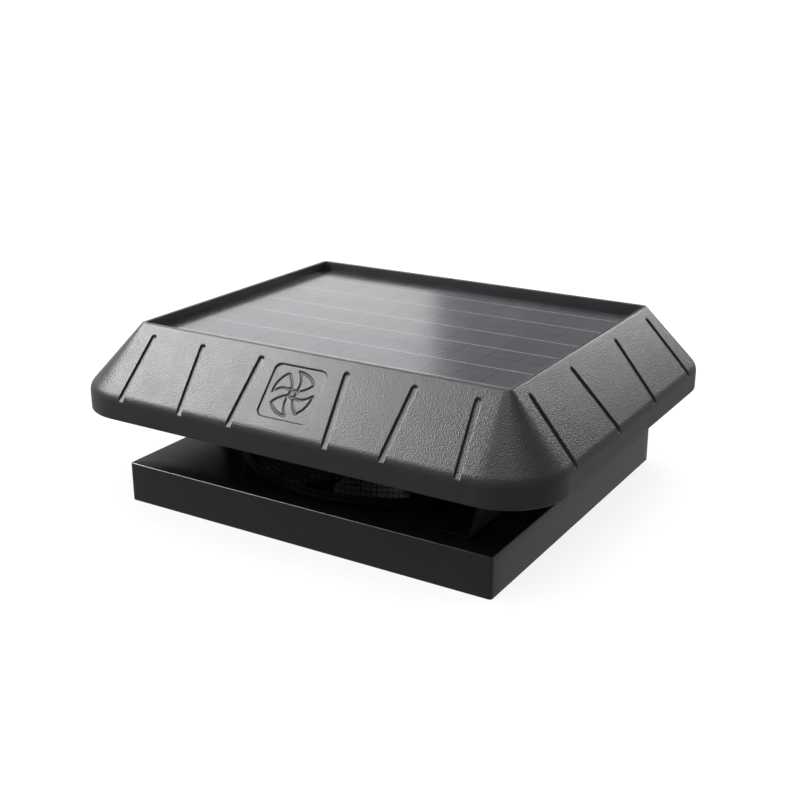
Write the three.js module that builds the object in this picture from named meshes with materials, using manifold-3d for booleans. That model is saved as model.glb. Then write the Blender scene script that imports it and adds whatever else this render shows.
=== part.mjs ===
// Solar attic fan for a roof curb: a folded steel curb cap with a round air throat, a five-blade
// fan on a brushless motor above it, and a moulded hood that carries a solar panel in its top.
// Millimetres, +Z up, -Y is the front with the badge. The origin is the centre of the cap's foot.

import * as THREE from "three";
import { mergeVertices } from "three/addons/utils/BufferGeometryUtils.js";
import Module from "manifold-3d";

const wasm = await Module();
wasm.setup();

// ---------------------------------------------------------------- driving dimensions

const GAP = 0.3; // air left where two pieces meet
const OVERCUT = 1; // how far a cutter runs past the face that it cuts
const BIG_ROUND = 48; // sides of the throat
const MOTOR_ROUND = 32; // sides of the motor's turned parts
const QUARTER = Math.PI / 2;
const TURN = Math.PI * 2;
const HOLE_REACH = 8; // how far a hole's cutter runs on each side of its height

// Screws: head radius, head height, shank radius, shank length
const BRACKET_SCREW = [4.6, 4, 2.4, 8];
const HOOD_SCREW = [4.6, 3.2, 2, 12];
const MOTOR_SCREW = [4.5, 3, 2.2, 17];
const BRIDGE_SCREW = [3.7, 3.4, 2.2, 9];

// Radii of the holes that they pass through
const BRACKET_SCREW_HOLE = 3;
const HOOD_SCREW_HOLE = 2.5;
const MOTOR_SCREW_HOLE = 2.7;
const BRIDGE_SCREW_HOLE = 2.8;

// Curb cap
const CAP_X = 512;
const CAP_Y = 470;
const CAP_HEIGHT = 51;
const CAP_SHEET = 2;
const CAP_CORNER = 4;

// Foam strip that the curb bears on
const GASKET_WIDTH = 14;
const GASKET_THICKNESS = 6;
const GASKET_CORNER = 1.5;

// Air throat
const THROAT_RADIUS = 184.5;
const THROAT_SHEET = 2;
const THROAT_CLEARANCE = 1; // air round the throat in the deck's hole
const THROAT_BOTTOM = 8;
const THROAT_LIP = 8.5; // radius of the rolled inlet lip
const THROAT_FLANGE_RADIUS = 204;
const FLANGE_BOTTOM = CAP_HEIGHT + GAP;
const FLANGE_TOP = FLANGE_BOTTOM + THROAT_SHEET;

// Hood, outside
const HOOD_RIM_X = 508;
const HOOD_RIM_Y = 402;
const HOOD_SPREAD = 68.5; // how far the skirt stands out past the rim on every side
const HOOD_TOP = 226;
const HOOD_CREASE = 149.5; // height where the slope would meet the upright skirt
const HOOD_BOTTOM = 121;
const HOOD_WALL = 3.5;
const RIM_CORNER = 8;
const SKIRT_CORNER = 74;
const CREASE_ROUND = 18;
const RIM_ROUND = 3;
const SLOPE_ANGLE = Math.atan2(HOOD_SPREAD, HOOD_TOP - HOOD_CREASE); // from upright

// Hood, recess for the panel
const RECESS_X = 497.5;
const RECESS_Y = 391.5;
const RECESS_DRAFT = 1.5; // how much wider the recess is at the rim
const RECESS_CORNER = 3;
const RECESS_WALL = 3.5;
const FLOOR_TOP = 207.2;
const FLOOR_BOTTOM = 204;

// Hood, mouldings
const GROOVE_WIDTH = 6;
const GROOVE_DEPTH = 2.2;
const GROOVE_TOP = 213;
const GROOVE_RUNOUT = 12; // how far a groove runs on past the crease
const CUTTER_RISE = 6; // how far the groove and badge cutters stand out of the slope
const FRONT_GROOVES = [
  [59, 66],
  [146, 139],
  [223, 230],
];
const SIDE_GROOVES = [
  [65, 57],
  [172.5, 178.5],
];
const BADGE_WIDTH = 72;
const BADGE_LENGTH = 66;
const BADGE_CORNER = 9;
const BADGE_DEPTH = 1.8;
const BOSS_RADIUS = 9;
const BOSS_LENGTH = 11.2;
const PILOT_FLOOR = 1; // what a boss's pilot hole leaves under the recess floor

// Solar panel, counted down from the glass
const GLASS_X = 496;
const GLASS_Y = 390;
const GLASS_TOP = 215;
const GLASS_THICKNESS = 3.2;
const STRING_LENGTH = 464;
const STRING_PITCH = 126.5;
const CELL_WIDTH = 125;
const CELL_THICKNESS = 0.6;
const RIBBON_OFFSET = 28.6; // from the middle of a string to each of its two ribbons
const RIBBON_WIDTH = 1.6;
const RIBBON_RISE = 0.2;
const BUS_WIDTH = 3;
const BACKSHEET_THICKNESS = 0.6;
const BEDDING_WIDTH = 14;
const PANEL_CORNER = 2;

// Hood brackets, two at each end. The right pair stands in the corners of the deck and the left
// pair close together, each given by the outer face of its web and its middle line.
const RIGHT_BRACKETS = [217, 173.5];
const LEFT_BRACKETS = [250, 38];
const BRACKET_SHEET = 2.5;
const BRACKET_REACH = 42; // of the foot and the head, in from the web's outer face
const BRACKET_FOOT_WIDTH = 71;
const BRACKET_HEAD_WIDTH = 34;
const BRACKET_FOOT_RISE = 8; // where the web starts to narrow, above the deck
const BRACKET_NECK_RISE = 40; // where it has become as narrow as the head
const BRACKET_FOOT_HOLE = [16, -23.5]; // in from the web and along from the middle line
const BRACKET_HEAD_HOLE = [21, 0];
const BRACKET_TOP = FLOOR_BOTTOM - BOSS_LENGTH - GAP;

// Screen round the outlet
const SCREEN_RADIUS = 200;
const SCREEN_SHEET = 1.5;
const SCREEN_COLUMNS = 18;
const SCREEN_ROWS = 2;
const SCREEN_HOOP = 7; // height of the solid bands
const SCREEN_RIB = 9; // width of the solid uprights
const WINDOW_REACH = 12; // how far a window's cutter runs on each side of the band

// Motor bridge
const BRIDGE_SHEET = 3;
const BRIDGE_BOTTOM = 72;
const BRIDGE_ARM_WIDTH = 24;
const BRIDGE_PLATE_RADIUS = 66;
const BRIDGE_LEG_RADIUS = 184.8;
const BRIDGE_FOOT_RADIUS = 199;
const BRIDGE_SCREW_RADIUS = 193.3;
const BRIDGE_OVERLAP = 20; // how far the arms run in under the plate's edge
const BRIDGE_BORE = 20;

// Motor
const MOTOR_BOLT_RADIUS = 55;
const MOUNT_HEIGHT = 6;
const MOUNT_BORE = 2.8;
const MOUNT_RADIUS = 7;
const MOTOR_BOTTOM = BRIDGE_BOTTOM + BRIDGE_SHEET + GAP + MOUNT_HEIGHT + GAP;
const MOTOR_FLANGE_RADIUS = 62;
const MOTOR_FLANGE = 3;
const MOTOR_RADIUS = 48;
const MOTOR_WALL = 2;
const MOTOR_TOP = 126;
const COVER_THICKNESS = 3;
const COVER_CHAMFER = 1;
const BEARING_RADIUS = 10;
const BEARING_BORE = 4.4;
const BEARING_HEIGHT = 7;
const BEARING_BOSS = 13;
const SHAFT_RADIUS = 4;
const SHAFT_BOTTOM = 11;
const SHAFT_TOP = MOTOR_TOP - 1;
const SHAFT_CHAMFER = 1;
const SHAFT_HOLE = 5; // radius of the hole in the can's floor
const STATOR_BOTTOM = 96;
const STATOR_TOP = 112;
const STATOR_TEETH = 12;
const STATOR_YOKE = 7;
const STATOR_TOOTH = 6;
const STATOR_AIR_GAP = 1.2;
const WINDING_INNER = 30.5;
const WINDING_OUTER = 42;
const WINDING_RISE = 5; // of the end turns beyond the core
const WINDING_BAR = 5.2;
const WINDING_BAR_OUTER = 37;
const BOARD_INNER = 16;
const BOARD_OUTER = 44.5;
const BOARD_BOTTOM = 119.2;
const BOARD_THICKNESS = 1.6;
const MAGNET_RADIUS = 25.5;
const MAGNET_OVERHANG = 1;

// Fan
const BLADES = 5;
const BLADE_ROOT_RADIUS = 52;
const BLADE_TIP_RADIUS = 178;
const BLADE_ROOT_CHORD = 52;
const BLADE_TIP_CHORD = 102;
const BLADE_ROOT_PITCH = THREE.MathUtils.degToRad(32);
const BLADE_TIP_PITCH = THREE.MathUtils.degToRad(20);
const BLADE_WIDENING = 0.7; // below 1, the chord grows fastest near the root
const BLADE_CAMBER = 0.04; // depth of the hollow over the chord
const BLADE_SHEET = 1.8;
const BLADE_Z = 33;
const HUB_RADIUS = 16;
const HUB_BOTTOM = 20;
const HUB_TOP = 50;
const ARM_ROOT = 10;
const ARM_REACH = 82;
const ARM_WIDTH = 24;
const ARM_SHEET = 2.5;
const ARM_PITCH = THREE.MathUtils.degToRad(30.5);
const ARM_DROP = 4.3; // from the blade's middle line to the arm's top
const NUT_RADIUS = 7.5;
const NUT_HEIGHT = 6;

// Wiring
const BOX_X = 110;
const BOX_Y = 70;
const BOX_HEIGHT = 24;
const BOX_WALL = 2;
const BOX_CENTRE_X = -90;
const LID_THICKNESS = 2.4;
const LID_CORNER = 3;
const FLOOR_OPENING = [20, 8]; // half sizes of the openings that the panel's wires pass
const BOX_OPENING = [18, 6];
const SHEET_OPENING = [14, 4];
const CABLE_RADIUS = 3;
const CABLE_HEIGHT = 190;
const CABLE_DROP_X = 34;
const CABLE_END = MOTOR_TOP - 2.5;
const CABLE_HOLE = 4;
const GLAND_RADIUS = 6.5;
const GLAND_NOSE = 4.5;
const GLAND_BORE = 3.5;
const GLAND_LENGTH = 10;

// ---------------------------------------------------------------- finishes

const finish = (color, roughness, metalness) =>
  new THREE.MeshStandardMaterial({ color, roughness, metalness });
const hoodPlastic = finish(0x303133, 0.5, 0);
const capPaint = finish(0x141415, 0.35, 0.1);
const darkPaint = finish(0x1c1c1d, 0.5, 0.2);
const screenPaint = finish(0x121212, 0.6, 0.2);
const foam = finish(0x222222, 0.95, 0);
const zincSteel = finish(0xb4b6b8, 0.4, 0.9);
const bladeAluminium = finish(0xc4c7c9, 0.35, 0.9);
const motorPaint = finish(0x26272a, 0.45, 0.3);
const electricalSteel = finish(0x7d8084, 0.5, 0.8);
const copper = finish(0xb87333, 0.35, 0.9);
const magnetBlack = finish(0x2f2f33, 0.6, 0.3);
const boardGreen = finish(0x1f5c3a, 0.6, 0);
const rubber = finish(0x191919, 0.85, 0);
const cellBlack = finish(0x1d1c22, 0.3, 0.1);
const ribbonSilver = finish(0x9a9692, 0.35, 0.8);
const backsheetBlack = finish(0x16161a, 0.6, 0);
const panelGlassFinish = finish(0x6f6f76, 0.08, 0);
const boxPlastic = finish(0x1b1b1c, 0.55, 0);

// ---------------------------------------------------------------- shape helpers

// A closed geometry as a solid that can be joined and cut.
function solid(geometry) {
  const plain = geometry.clone();
  plain.deleteAttribute("normal");
  plain.deleteAttribute("uv");
  const merged = mergeVertices(plain, 1e-3);
  return new wasm.Manifold(
    new wasm.Mesh({
      numProp: 3,
      vertProperties: merged.attributes.position.array,
      triVerts: Uint32Array.from(merged.index.array),
    }),
  );
}

function geometryOf(body) {
  const mesh = body.getMesh();
  const geometry = new THREE.BufferGeometry();
  geometry.setAttribute("position", new THREE.BufferAttribute(mesh.vertProperties, 3));
  geometry.setIndex(new THREE.BufferAttribute(mesh.triVerts, 1));
  geometry.computeVertexNormals();
  return geometry;
}

function joined(first, ...others) {
  return others.reduce((body, other) => body.add(other), first);
}

function cut(body, ...cutters) {
  return cutters.reduce((left, cutter) => left.subtract(cutter), body);
}

// A block between two corners.
function block([x0, y0, z0], [x1, y1, z1]) {
  const geometry = new THREE.BoxGeometry(x1 - x0, y1 - y0, z1 - z0);
  return geometry.translate((x0 + x1) / 2, (y0 + y1) / 2, (z0 + z1) / 2);
}

// An upright cylinder.
function post(radius, bottom, top, x = 0, y = 0, sides = 24) {
  const geometry = new THREE.CylinderGeometry(radius, radius, top - bottom, sides);
  return geometry.rotateX(QUARTER).translate(x, y, (bottom + top) / 2);
}

// A cutter for a round hole through a sheet at the given height.
function roundHole(radius, height, x, y) {
  return solid(post(radius, height - HOLE_REACH, height + HOLE_REACH, x, y, 12));
}

// A cutter for an opening that the panel's wires pass, over the junction box.
function wireOpening([halfX, halfY], height) {
  const low = [BOX_CENTRE_X - halfX, -halfY, height - HOLE_REACH];
  const high = [BOX_CENTRE_X + halfX, halfY, height + HOLE_REACH];
  return solid(block(low, high));
}

// A profile of [radius, height] points turned about the Z axis.
function turned(profile, sides) {
  const points = profile.map(([radius, height]) => new THREE.Vector2(radius, height));
  return new THREE.LatheGeometry(points, sides).rotateX(QUARTER);
}

// A ring of rectangular section about the Z axis.
function ring(inner, outer, bottom, top, sides) {
  const profile = [
    [inner, bottom],
    [outer, bottom],
    [outer, top],
    [inner, top],
    [inner, bottom],
  ];
  return turned(profile, sides);
}

// Points of a rounded rectangle, anticlockwise, with the same count whatever its size.
function roundedOutline(width, depth, radius, steps) {
  const points = [];
  for (let corner = 0; corner < 4; corner++) {
    const centreX = (corner === 0 || corner === 3 ? 1 : -1) * (width / 2 - radius);
    const centreY = (corner < 2 ? 1 : -1) * (depth / 2 - radius);
    for (let step = 0; step <= steps; step++) {
      const angle = (corner + step / steps) * QUARTER;
      const x = centreX + radius * Math.cos(angle);
      const y = centreY + radius * Math.sin(angle);
      points.push(new THREE.Vector2(x, y));
    }
  }
  return points;
}

// A plate with rounded corners.
function roundedPlate(width, depth, radius, bottom, top, steps = 4) {
  const shape = new THREE.Shape(roundedOutline(width, depth, radius, steps));
  const options = { depth: top - bottom, bevelEnabled: false };
  return new THREE.ExtrudeGeometry(shape, options).translate(0, 0, bottom);
}

// A skin over outlines of equal point count, lowest first, closed by a flat fan at each end.
function loft(levels) {
  const count = levels[0].outline.length;
  const positions = [];
  for (const { outline, z } of levels) {
    for (const point of outline) positions.push(point.x, point.y, z);
  }
  const faces = [];
  for (let level = 0; level < levels.length - 1; level++) {
    for (let i = 0; i < count; i++) {
      const a = level * count + i;
      const b = level * count + ((i + 1) % count);
      faces.push(a, b, b + count, a, b + count, a + count);
    }
  }
  const last = (levels.length - 1) * count;
  for (let i = 1; i < count - 1; i++) {
    faces.push(0, i + 1, i);
    faces.push(last, last + i, last + i + 1);
  }
  const geometry = new THREE.BufferGeometry();
  geometry.setAttribute("position", new THREE.Float32BufferAttribute(positions, 3));
  geometry.setIndex(faces);
  return geometry;
}

function named(name, geometry, material) {
  const mesh = new THREE.Mesh(geometry, material);
  mesh.name = name;
  return mesh;
}

// Calls make(x sign, y sign, corner name) for the four corners.
function forCorners(make) {
  make(1, -1, "front_right");
  make(-1, -1, "front_left");
  make(1, 1, "back_right");
  make(-1, 1, "back_left");
}

// Where a point of a hood bracket, counted in from its web and along from its middle line, lies
// at one corner.
function bracketPoint(signX, signY, [inwards, along]) {
  const [web, middle] = signX > 0 ? RIGHT_BRACKETS : LEFT_BRACKETS;
  return [signX * (web - inwards), signY * (middle + along)];
}

// Where a screw of the motor bridge stands, by corner.
function bridgeScrewPoint(signX, signY) {
  const diagonal = BRIDGE_SCREW_RADIUS * Math.SQRT1_2;
  return [signX * diagonal, signY * diagonal];
}

// A screw with a domed round head that sits on z = 0 and a shank below it.
function panScrew(headRadius, headHeight, shankRadius, shankLength) {
  const profile = [
    [0, -shankLength],
    [shankRadius, -shankLength + shankRadius / 2],
    [shankRadius, 0],
    [headRadius, 0],
    [headRadius, headHeight * 0.5],
    [headRadius * 0.6, headHeight],
    [0, headHeight],
  ];
  return turned(profile, 8);
}

// A screw with a washer-faced hexagon head that sits on z = 0 and a shank below it.
function hexScrew(headRadius, headHeight, shankRadius, shankLength) {
  const washer = solid(post(headRadius * 1.35, 0, headHeight * 0.3, 0, 0, 12));
  const head = solid(post(headRadius, headHeight * 0.1, headHeight, 0, 0, 6));
  const shank = solid(post(shankRadius, -shankLength, headHeight * 0.5, 0, 0, 8));
  return geometryOf(joined(washer, head, shank));
}

// ---------------------------------------------------------------- curb cap

function capSheet() {
  const wall = 2 * CAP_SHEET;
  const outside = solid(roundedPlate(CAP_X, CAP_Y, CAP_CORNER, 0, CAP_HEIGHT));
  const inside = solid(
    roundedPlate(
      CAP_X - wall,
      CAP_Y - wall,
      CAP_CORNER - CAP_SHEET,
      -OVERCUT,
      CAP_HEIGHT - CAP_SHEET,
    ),
  );
  const hole = THROAT_RADIUS + THROAT_SHEET + THROAT_CLEARANCE;
  const throat = solid(post(hole, 0, CAP_HEIGHT + OVERCUT, 0, 0, BIG_ROUND));
  const holes = [];
  forCorners((signX, signY) => {
    const footHole = bracketPoint(signX, signY, BRACKET_FOOT_HOLE);
    const bridgeHole = bridgeScrewPoint(signX, signY);
    holes.push(roundHole(BRACKET_SCREW_HOLE, CAP_HEIGHT, ...footHole));
    holes.push(roundHole(BRIDGE_SCREW_HOLE, CAP_HEIGHT, ...bridgeHole));
  });
  return geometryOf(cut(outside, inside, throat, ...holes));
}

function curbGasket() {
  const width = CAP_X - 2 * (CAP_SHEET + GAP);
  const depth = CAP_Y - 2 * (CAP_SHEET + GAP);
  const top = CAP_HEIGHT - CAP_SHEET - GAP;
  const bottom = top - GASKET_THICKNESS;
  const outside = solid(roundedPlate(width, depth, GASKET_CORNER, bottom, top, 2));
  const inside = solid(
    roundedPlate(
      width - 2 * GASKET_WIDTH,
      depth - 2 * GASKET_WIDTH,
      GASKET_CORNER,
      bottom - OVERCUT,
      top + OVERCUT,
      2,
    ),
  );
  return geometryOf(cut(outside, inside));
}

// The throat: a flange on the deck, an upright wall and an inlet lip rolled outwards.
function throatRing() {
  const lipCentre = [THROAT_RADIUS + THROAT_LIP, THROAT_BOTTOM + THROAT_LIP];
  const lipPoint = (radius, angle) => [
    lipCentre[0] + radius * Math.cos(angle),
    lipCentre[1] + radius * Math.sin(angle),
  ];
  const lipSteps = 3;
  const inner = [];
  const outer = [];
  for (let step = 0; step <= lipSteps; step++) {
    const angle = Math.PI + (QUARTER * step) / lipSteps;
    inner.push(lipPoint(THROAT_LIP, angle));
    outer.unshift(lipPoint(THROAT_LIP - THROAT_SHEET, angle));
  }
  const flangeTop = [
    [THROAT_FLANGE_RADIUS, FLANGE_TOP],
    [THROAT_RADIUS, FLANGE_TOP],
  ];
  const flangeUnderside = [
    [THROAT_RADIUS + THROAT_SHEET, FLANGE_BOTTOM],
    [THROAT_FLANGE_RADIUS, FLANGE_BOTTOM],
    [THROAT_FLANGE_RADIUS, FLANGE_TOP],
  ];
  const profile = [...flangeTop, ...inner, ...outer, ...flangeUnderside];
  const body = solid(turned(profile, BIG_ROUND));
  const holes = [];
  forCorners((signX, signY) => {
    holes.push(roundHole(BRIDGE_SCREW_HOLE, FLANGE_TOP, ...bridgeScrewPoint(signX, signY)));
  });
  return geometryOf(cut(body, ...holes));
}

// ---------------------------------------------------------------- outlet screen

function outletScreen() {
  const bottom = FLANGE_TOP + GAP;
  const top = FLOOR_BOTTOM - GAP;
  const outer = SCREEN_RADIUS + SCREEN_SHEET;
  const body = solid(ring(SCREEN_RADIUS, outer, bottom, top, 2 * SCREEN_COLUMNS));
  const height = (top - bottom - (SCREEN_ROWS + 1) * SCREEN_HOOP) / SCREEN_ROWS;
  const width = (TURN * SCREEN_RADIUS) / SCREEN_COLUMNS - SCREEN_RIB;
  const windows = [];
  for (let row = 0; row < SCREEN_ROWS; row++) {
    const low = bottom + SCREEN_HOOP + row * (height + SCREEN_HOOP);
    for (let column = 0; column < SCREEN_COLUMNS; column++) {
      const opening = block(
        [SCREEN_RADIUS - WINDOW_REACH, -width / 2, low],
        [SCREEN_RADIUS + WINDOW_REACH, width / 2, low + height],
      );
      opening.rotateZ((TURN * (column + 0.5)) / SCREEN_COLUMNS);
      windows.push(solid(opening));
    }
  }
  return geometryOf(cut(body, ...windows));
}

// ---------------------------------------------------------------- hood brackets

// A sheet channel lying open towards the middle: foot on the deck, upright web, head under the
// hood. This is the one for the +X +Y corner, with the web's outer face on x = 0 and the middle
// line on y = 0.
function hoodBracket() {
  const bottom = CAP_HEIGHT + GAP;
  const channel = new THREE.Shape();
  channel.moveTo(-BRACKET_REACH, bottom);
  channel.lineTo(0, bottom);
  channel.lineTo(0, BRACKET_TOP);
  channel.lineTo(-BRACKET_REACH, BRACKET_TOP);
  channel.lineTo(-BRACKET_REACH, BRACKET_TOP - BRACKET_SHEET);
  channel.lineTo(-BRACKET_SHEET, BRACKET_TOP - BRACKET_SHEET);
  channel.lineTo(-BRACKET_SHEET, bottom + BRACKET_SHEET);
  channel.lineTo(-BRACKET_REACH, bottom + BRACKET_SHEET);
  const options = { depth: BRACKET_FOOT_WIDTH, bevelEnabled: false };
  const bent = new THREE.ExtrudeGeometry(channel, options);
  bent.rotateX(QUARTER).translate(0, BRACKET_FOOT_WIDTH / 2, 0);

  const foot = BRACKET_FOOT_WIDTH / 2;
  const head = BRACKET_HEAD_WIDTH / 2;
  const taper = new THREE.Shape();
  taper.moveTo(-foot, bottom - OVERCUT);
  taper.lineTo(foot, bottom - OVERCUT);
  taper.lineTo(foot, bottom + BRACKET_FOOT_RISE);
  taper.lineTo(head, bottom + BRACKET_NECK_RISE);
  taper.lineTo(head, BRACKET_TOP + OVERCUT);
  taper.lineTo(-head, BRACKET_TOP + OVERCUT);
  taper.lineTo(-head, bottom + BRACKET_NECK_RISE);
  taper.lineTo(-foot, bottom + BRACKET_FOOT_RISE);
  const through = { depth: BRACKET_REACH + 2 * OVERCUT, bevelEnabled: false };
  const blank = new THREE.ExtrudeGeometry(taper, through);
  blank.rotateX(QUARTER).rotateZ(QUARTER).translate(-BRACKET_REACH - OVERCUT, 0, 0);

  const [footIn, footAlong] = BRACKET_FOOT_HOLE;
  const [headIn, headAlong] = BRACKET_HEAD_HOLE;
  const footHole = roundHole(BRACKET_SCREW_HOLE, bottom, -footIn, footAlong);
  const headHole = roundHole(HOOD_SCREW_HOLE, BRACKET_TOP, -headIn, headAlong);
  return geometryOf(cut(solid(bent).intersect(solid(blank)), footHole, headHole));
}

// ---------------------------------------------------------------- hood

// A level of the hood: "out" counts outwards from the rim, "inset" is taken off all round.
function hoodLevel(out, z, inset = 0) {
  const grow = 2 * (out - inset);
  const corner = RIM_CORNER + ((SKIRT_CORNER - RIM_CORNER) * out) / HOOD_SPREAD - inset;
  return { outline: roundedOutline(HOOD_RIM_X + grow, HOOD_RIM_Y + grow, corner, 6), z };
}

function hoodOutside() {
  const levels = [hoodLevel(HOOD_SPREAD, HOOD_BOTTOM)];
  const creaseStart = HOOD_CREASE - CREASE_ROUND * Math.tan(SLOPE_ANGLE / 2);
  const creaseSteps = 4;
  for (let step = 0; step <= creaseSteps; step++) {
    const angle = (SLOPE_ANGLE * step) / creaseSteps;
    const out = HOOD_SPREAD - CREASE_ROUND * (1 - Math.cos(angle));
    levels.push(hoodLevel(out, creaseStart + CREASE_ROUND * Math.sin(angle)));
  }
  const rimInset = RIM_ROUND * Math.tan((QUARTER - SLOPE_ANGLE) / 2);
  const rimSteps = 2;
  for (let step = 0; step <= rimSteps; step++) {
    const angle = SLOPE_ANGLE + ((QUARTER - SLOPE_ANGLE) * step) / rimSteps;
    const out = RIM_ROUND * Math.cos(angle) - rimInset;
    levels.push(hoodLevel(out, HOOD_TOP - RIM_ROUND + RIM_ROUND * Math.sin(angle)));
  }
  return solid(loft(levels));
}

function hoodCavity() {
  const top = HOOD_TOP - 2 * HOOD_WALL;
  const crease = HOOD_CREASE - HOOD_WALL * Math.tan(SLOPE_ANGLE / 2);
  const slopeInset = HOOD_WALL / Math.cos(SLOPE_ANGLE);
  const topOut = (HOOD_TOP - top) * Math.tan(SLOPE_ANGLE);
  const hollow = solid(
    loft([
      hoodLevel(HOOD_SPREAD, HOOD_BOTTOM - OVERCUT, HOOD_WALL),
      hoodLevel(HOOD_SPREAD, crease, HOOD_WALL),
      hoodLevel(topOut, top, slopeInset),
    ]),
  );
  const tray = solid(
    roundedPlate(
      RECESS_X + 2 * RECESS_WALL,
      RECESS_Y + 2 * RECESS_WALL,
      RECESS_CORNER + RECESS_WALL,
      FLOOR_BOTTOM,
      HOOD_TOP,
    ),
  );
  return hollow.subtract(tray);
}

function hoodRecess() {
  const outline = (grow) =>
    roundedOutline(RECESS_X + grow, RECESS_Y + grow, RECESS_CORNER, 3);
  return solid(
    loft([
      { outline: outline(0), z: FLOOR_TOP },
      { outline: outline(RECESS_DRAFT), z: HOOD_TOP + OVERCUT },
    ]),
  );
}

// Carries shapes drawn flat, x along the rim and y up the slope, on to one sloping side.
// Side 0 is the front; each next side is a quarter turn on.
function slopeMatrix(side) {
  const rimDistance = (side % 2 ? HOOD_RIM_X : HOOD_RIM_Y) / 2;
  const along = new THREE.Vector3(1, 0, 0);
  const upSlope = new THREE.Vector3(0, Math.sin(SLOPE_ANGLE), Math.cos(SLOPE_ANGLE));
  const outward = new THREE.Vector3(0, -Math.cos(SLOPE_ANGLE), Math.sin(SLOPE_ANGLE));
  const tilt = new THREE.Matrix4().makeBasis(along, upSlope, outward);
  tilt.setPosition(0, -rimDistance, HOOD_TOP);
  return new THREE.Matrix4().makeRotationZ(side * QUARTER).multiply(tilt);
}

const slopeDistance = (height) => (HOOD_TOP - height) / Math.cos(SLOPE_ANGLE);

// One drain groove: round at its top end, running out over the crease.
function grooveCutter(topAlong, lowAlong, side) {
  const top = -slopeDistance(GROOVE_TOP);
  const low = -slopeDistance(HOOD_CREASE);
  const half = GROOVE_WIDTH / 2;
  const lean = Math.atan2(lowAlong - topAlong, top - low);
  const length = Math.hypot(lowAlong - topAlong, top - low) + GROOVE_RUNOUT;
  const shape = new THREE.Shape();
  shape.moveTo(-half, -length);
  shape.lineTo(half, -length);
  shape.lineTo(half, 0);
  shape.absarc(0, 0, half, 0, Math.PI);
  shape.lineTo(-half, -length);
  const depth = GROOVE_DEPTH + CUTTER_RISE;
  const options = { depth, bevelEnabled: false, curveSegments: 3 };
  const geometry = new THREE.ExtrudeGeometry(shape, options);
  geometry.translate(0, 0, -GROOVE_DEPTH).rotateZ(lean).translate(topAlong, top, 0);
  return solid(geometry.applyMatrix4(slopeMatrix(side)));
}

function badgeCutter() {
  const middle = -slopeDistance(GROOVE_TOP) - BADGE_LENGTH / 2;
  const plate = roundedPlate(
    BADGE_WIDTH,
    BADGE_LENGTH,
    BADGE_CORNER,
    -BADGE_DEPTH,
    CUTTER_RISE,
  );
  return solid(plate.translate(0, middle, 0).applyMatrix4(slopeMatrix(0)));
}

function hoodShell() {
  const grooves = [];
  for (const side of [0, 1, 2, 3]) {
    for (const [top, low] of side % 2 ? SIDE_GROOVES : FRONT_GROOVES) {
      grooves.push(grooveCutter(top, low, side), grooveCutter(-top, -low, side));
    }
  }
  const bosses = [];
  const pilots = [];
  const low = FLOOR_BOTTOM - BOSS_LENGTH;
  const pilotTop = FLOOR_BOTTOM - PILOT_FLOOR;
  forCorners((signX, signY) => {
    const [x, y] = bracketPoint(signX, signY, BRACKET_HEAD_HOLE);
    bosses.push(solid(post(BOSS_RADIUS, low, FLOOR_BOTTOM + OVERCUT, x, y, 16)));
    pilots.push(solid(post(HOOD_SCREW_HOLE, low - OVERCUT, pilotTop, x, y, 12)));
  });
  const wireWindow = wireOpening(FLOOR_OPENING, FLOOR_TOP);
  const shell = cut(hoodOutside(), hoodCavity(), hoodRecess(), ...grooves, badgeCutter());
  return geometryOf(cut(joined(shell, ...bosses), ...pilots, wireWindow));
}

// ---------------------------------------------------------------- solar panel

const CELL_BOTTOM = GLASS_TOP - GLASS_THICKNESS - GAP - RIBBON_RISE - CELL_THICKNESS;
const BACKSHEET_TOP = CELL_BOTTOM - GAP;

function panelGlass() {
  const low = GLASS_TOP - GLASS_THICKNESS;
  return roundedPlate(GLASS_X, GLASS_Y, PANEL_CORNER, low, GLASS_TOP, 2);
}

function panelBacksheet() {
  const low = BACKSHEET_TOP - BACKSHEET_THICKNESS;
  const sheet = solid(roundedPlate(GLASS_X, GLASS_Y, PANEL_CORNER, low, BACKSHEET_TOP, 2));
  return geometryOf(cut(sheet, wireOpening(SHEET_OPENING, BACKSHEET_TOP)));
}

// The bead of sealant that the panel is bedded on.
function panelBedding() {
  const low = FLOOR_TOP + GAP;
  const high = BACKSHEET_TOP - BACKSHEET_THICKNESS - GAP;
  const insideX = GLASS_X - 2 * BEDDING_WIDTH;
  const insideY = GLASS_Y - 2 * BEDDING_WIDTH;
  const outside = solid(roundedPlate(GLASS_X, GLASS_Y, PANEL_CORNER, low, high, 2));
  const inside = solid(
    roundedPlate(insideX, insideY, PANEL_CORNER, low - OVERCUT, high + OVERCUT, 2),
  );
  return geometryOf(cut(outside, inside));
}

// One string of cells as a thin plate, with the two ribbons soldered along its top.
function cellString() {
  const end = STRING_LENGTH / 2;
  const plate = block([-end, -CELL_WIDTH / 2, 0], [end, CELL_WIDTH / 2, CELL_THICKNESS]);
  const ribbons = [-RIBBON_OFFSET, RIBBON_OFFSET].map((y) =>
    solid(
      block(
        [-end, y - RIBBON_WIDTH / 2, CELL_THICKNESS / 2],
        [end, y + RIBBON_WIDTH / 2, CELL_THICKNESS + RIBBON_RISE],
      ),
    ),
  );
  return geometryOf(joined(solid(plate), ...ribbons));
}

// The flat strap that links one string's ribbon to its neighbour's.
function busRibbon() {
  const reach = STRING_PITCH / 2 - RIBBON_OFFSET + RIBBON_WIDTH;
  return block([0, -reach, 0], [BUS_WIDTH, reach, CELL_THICKNESS]);
}

// ---------------------------------------------------------------- wiring

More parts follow.
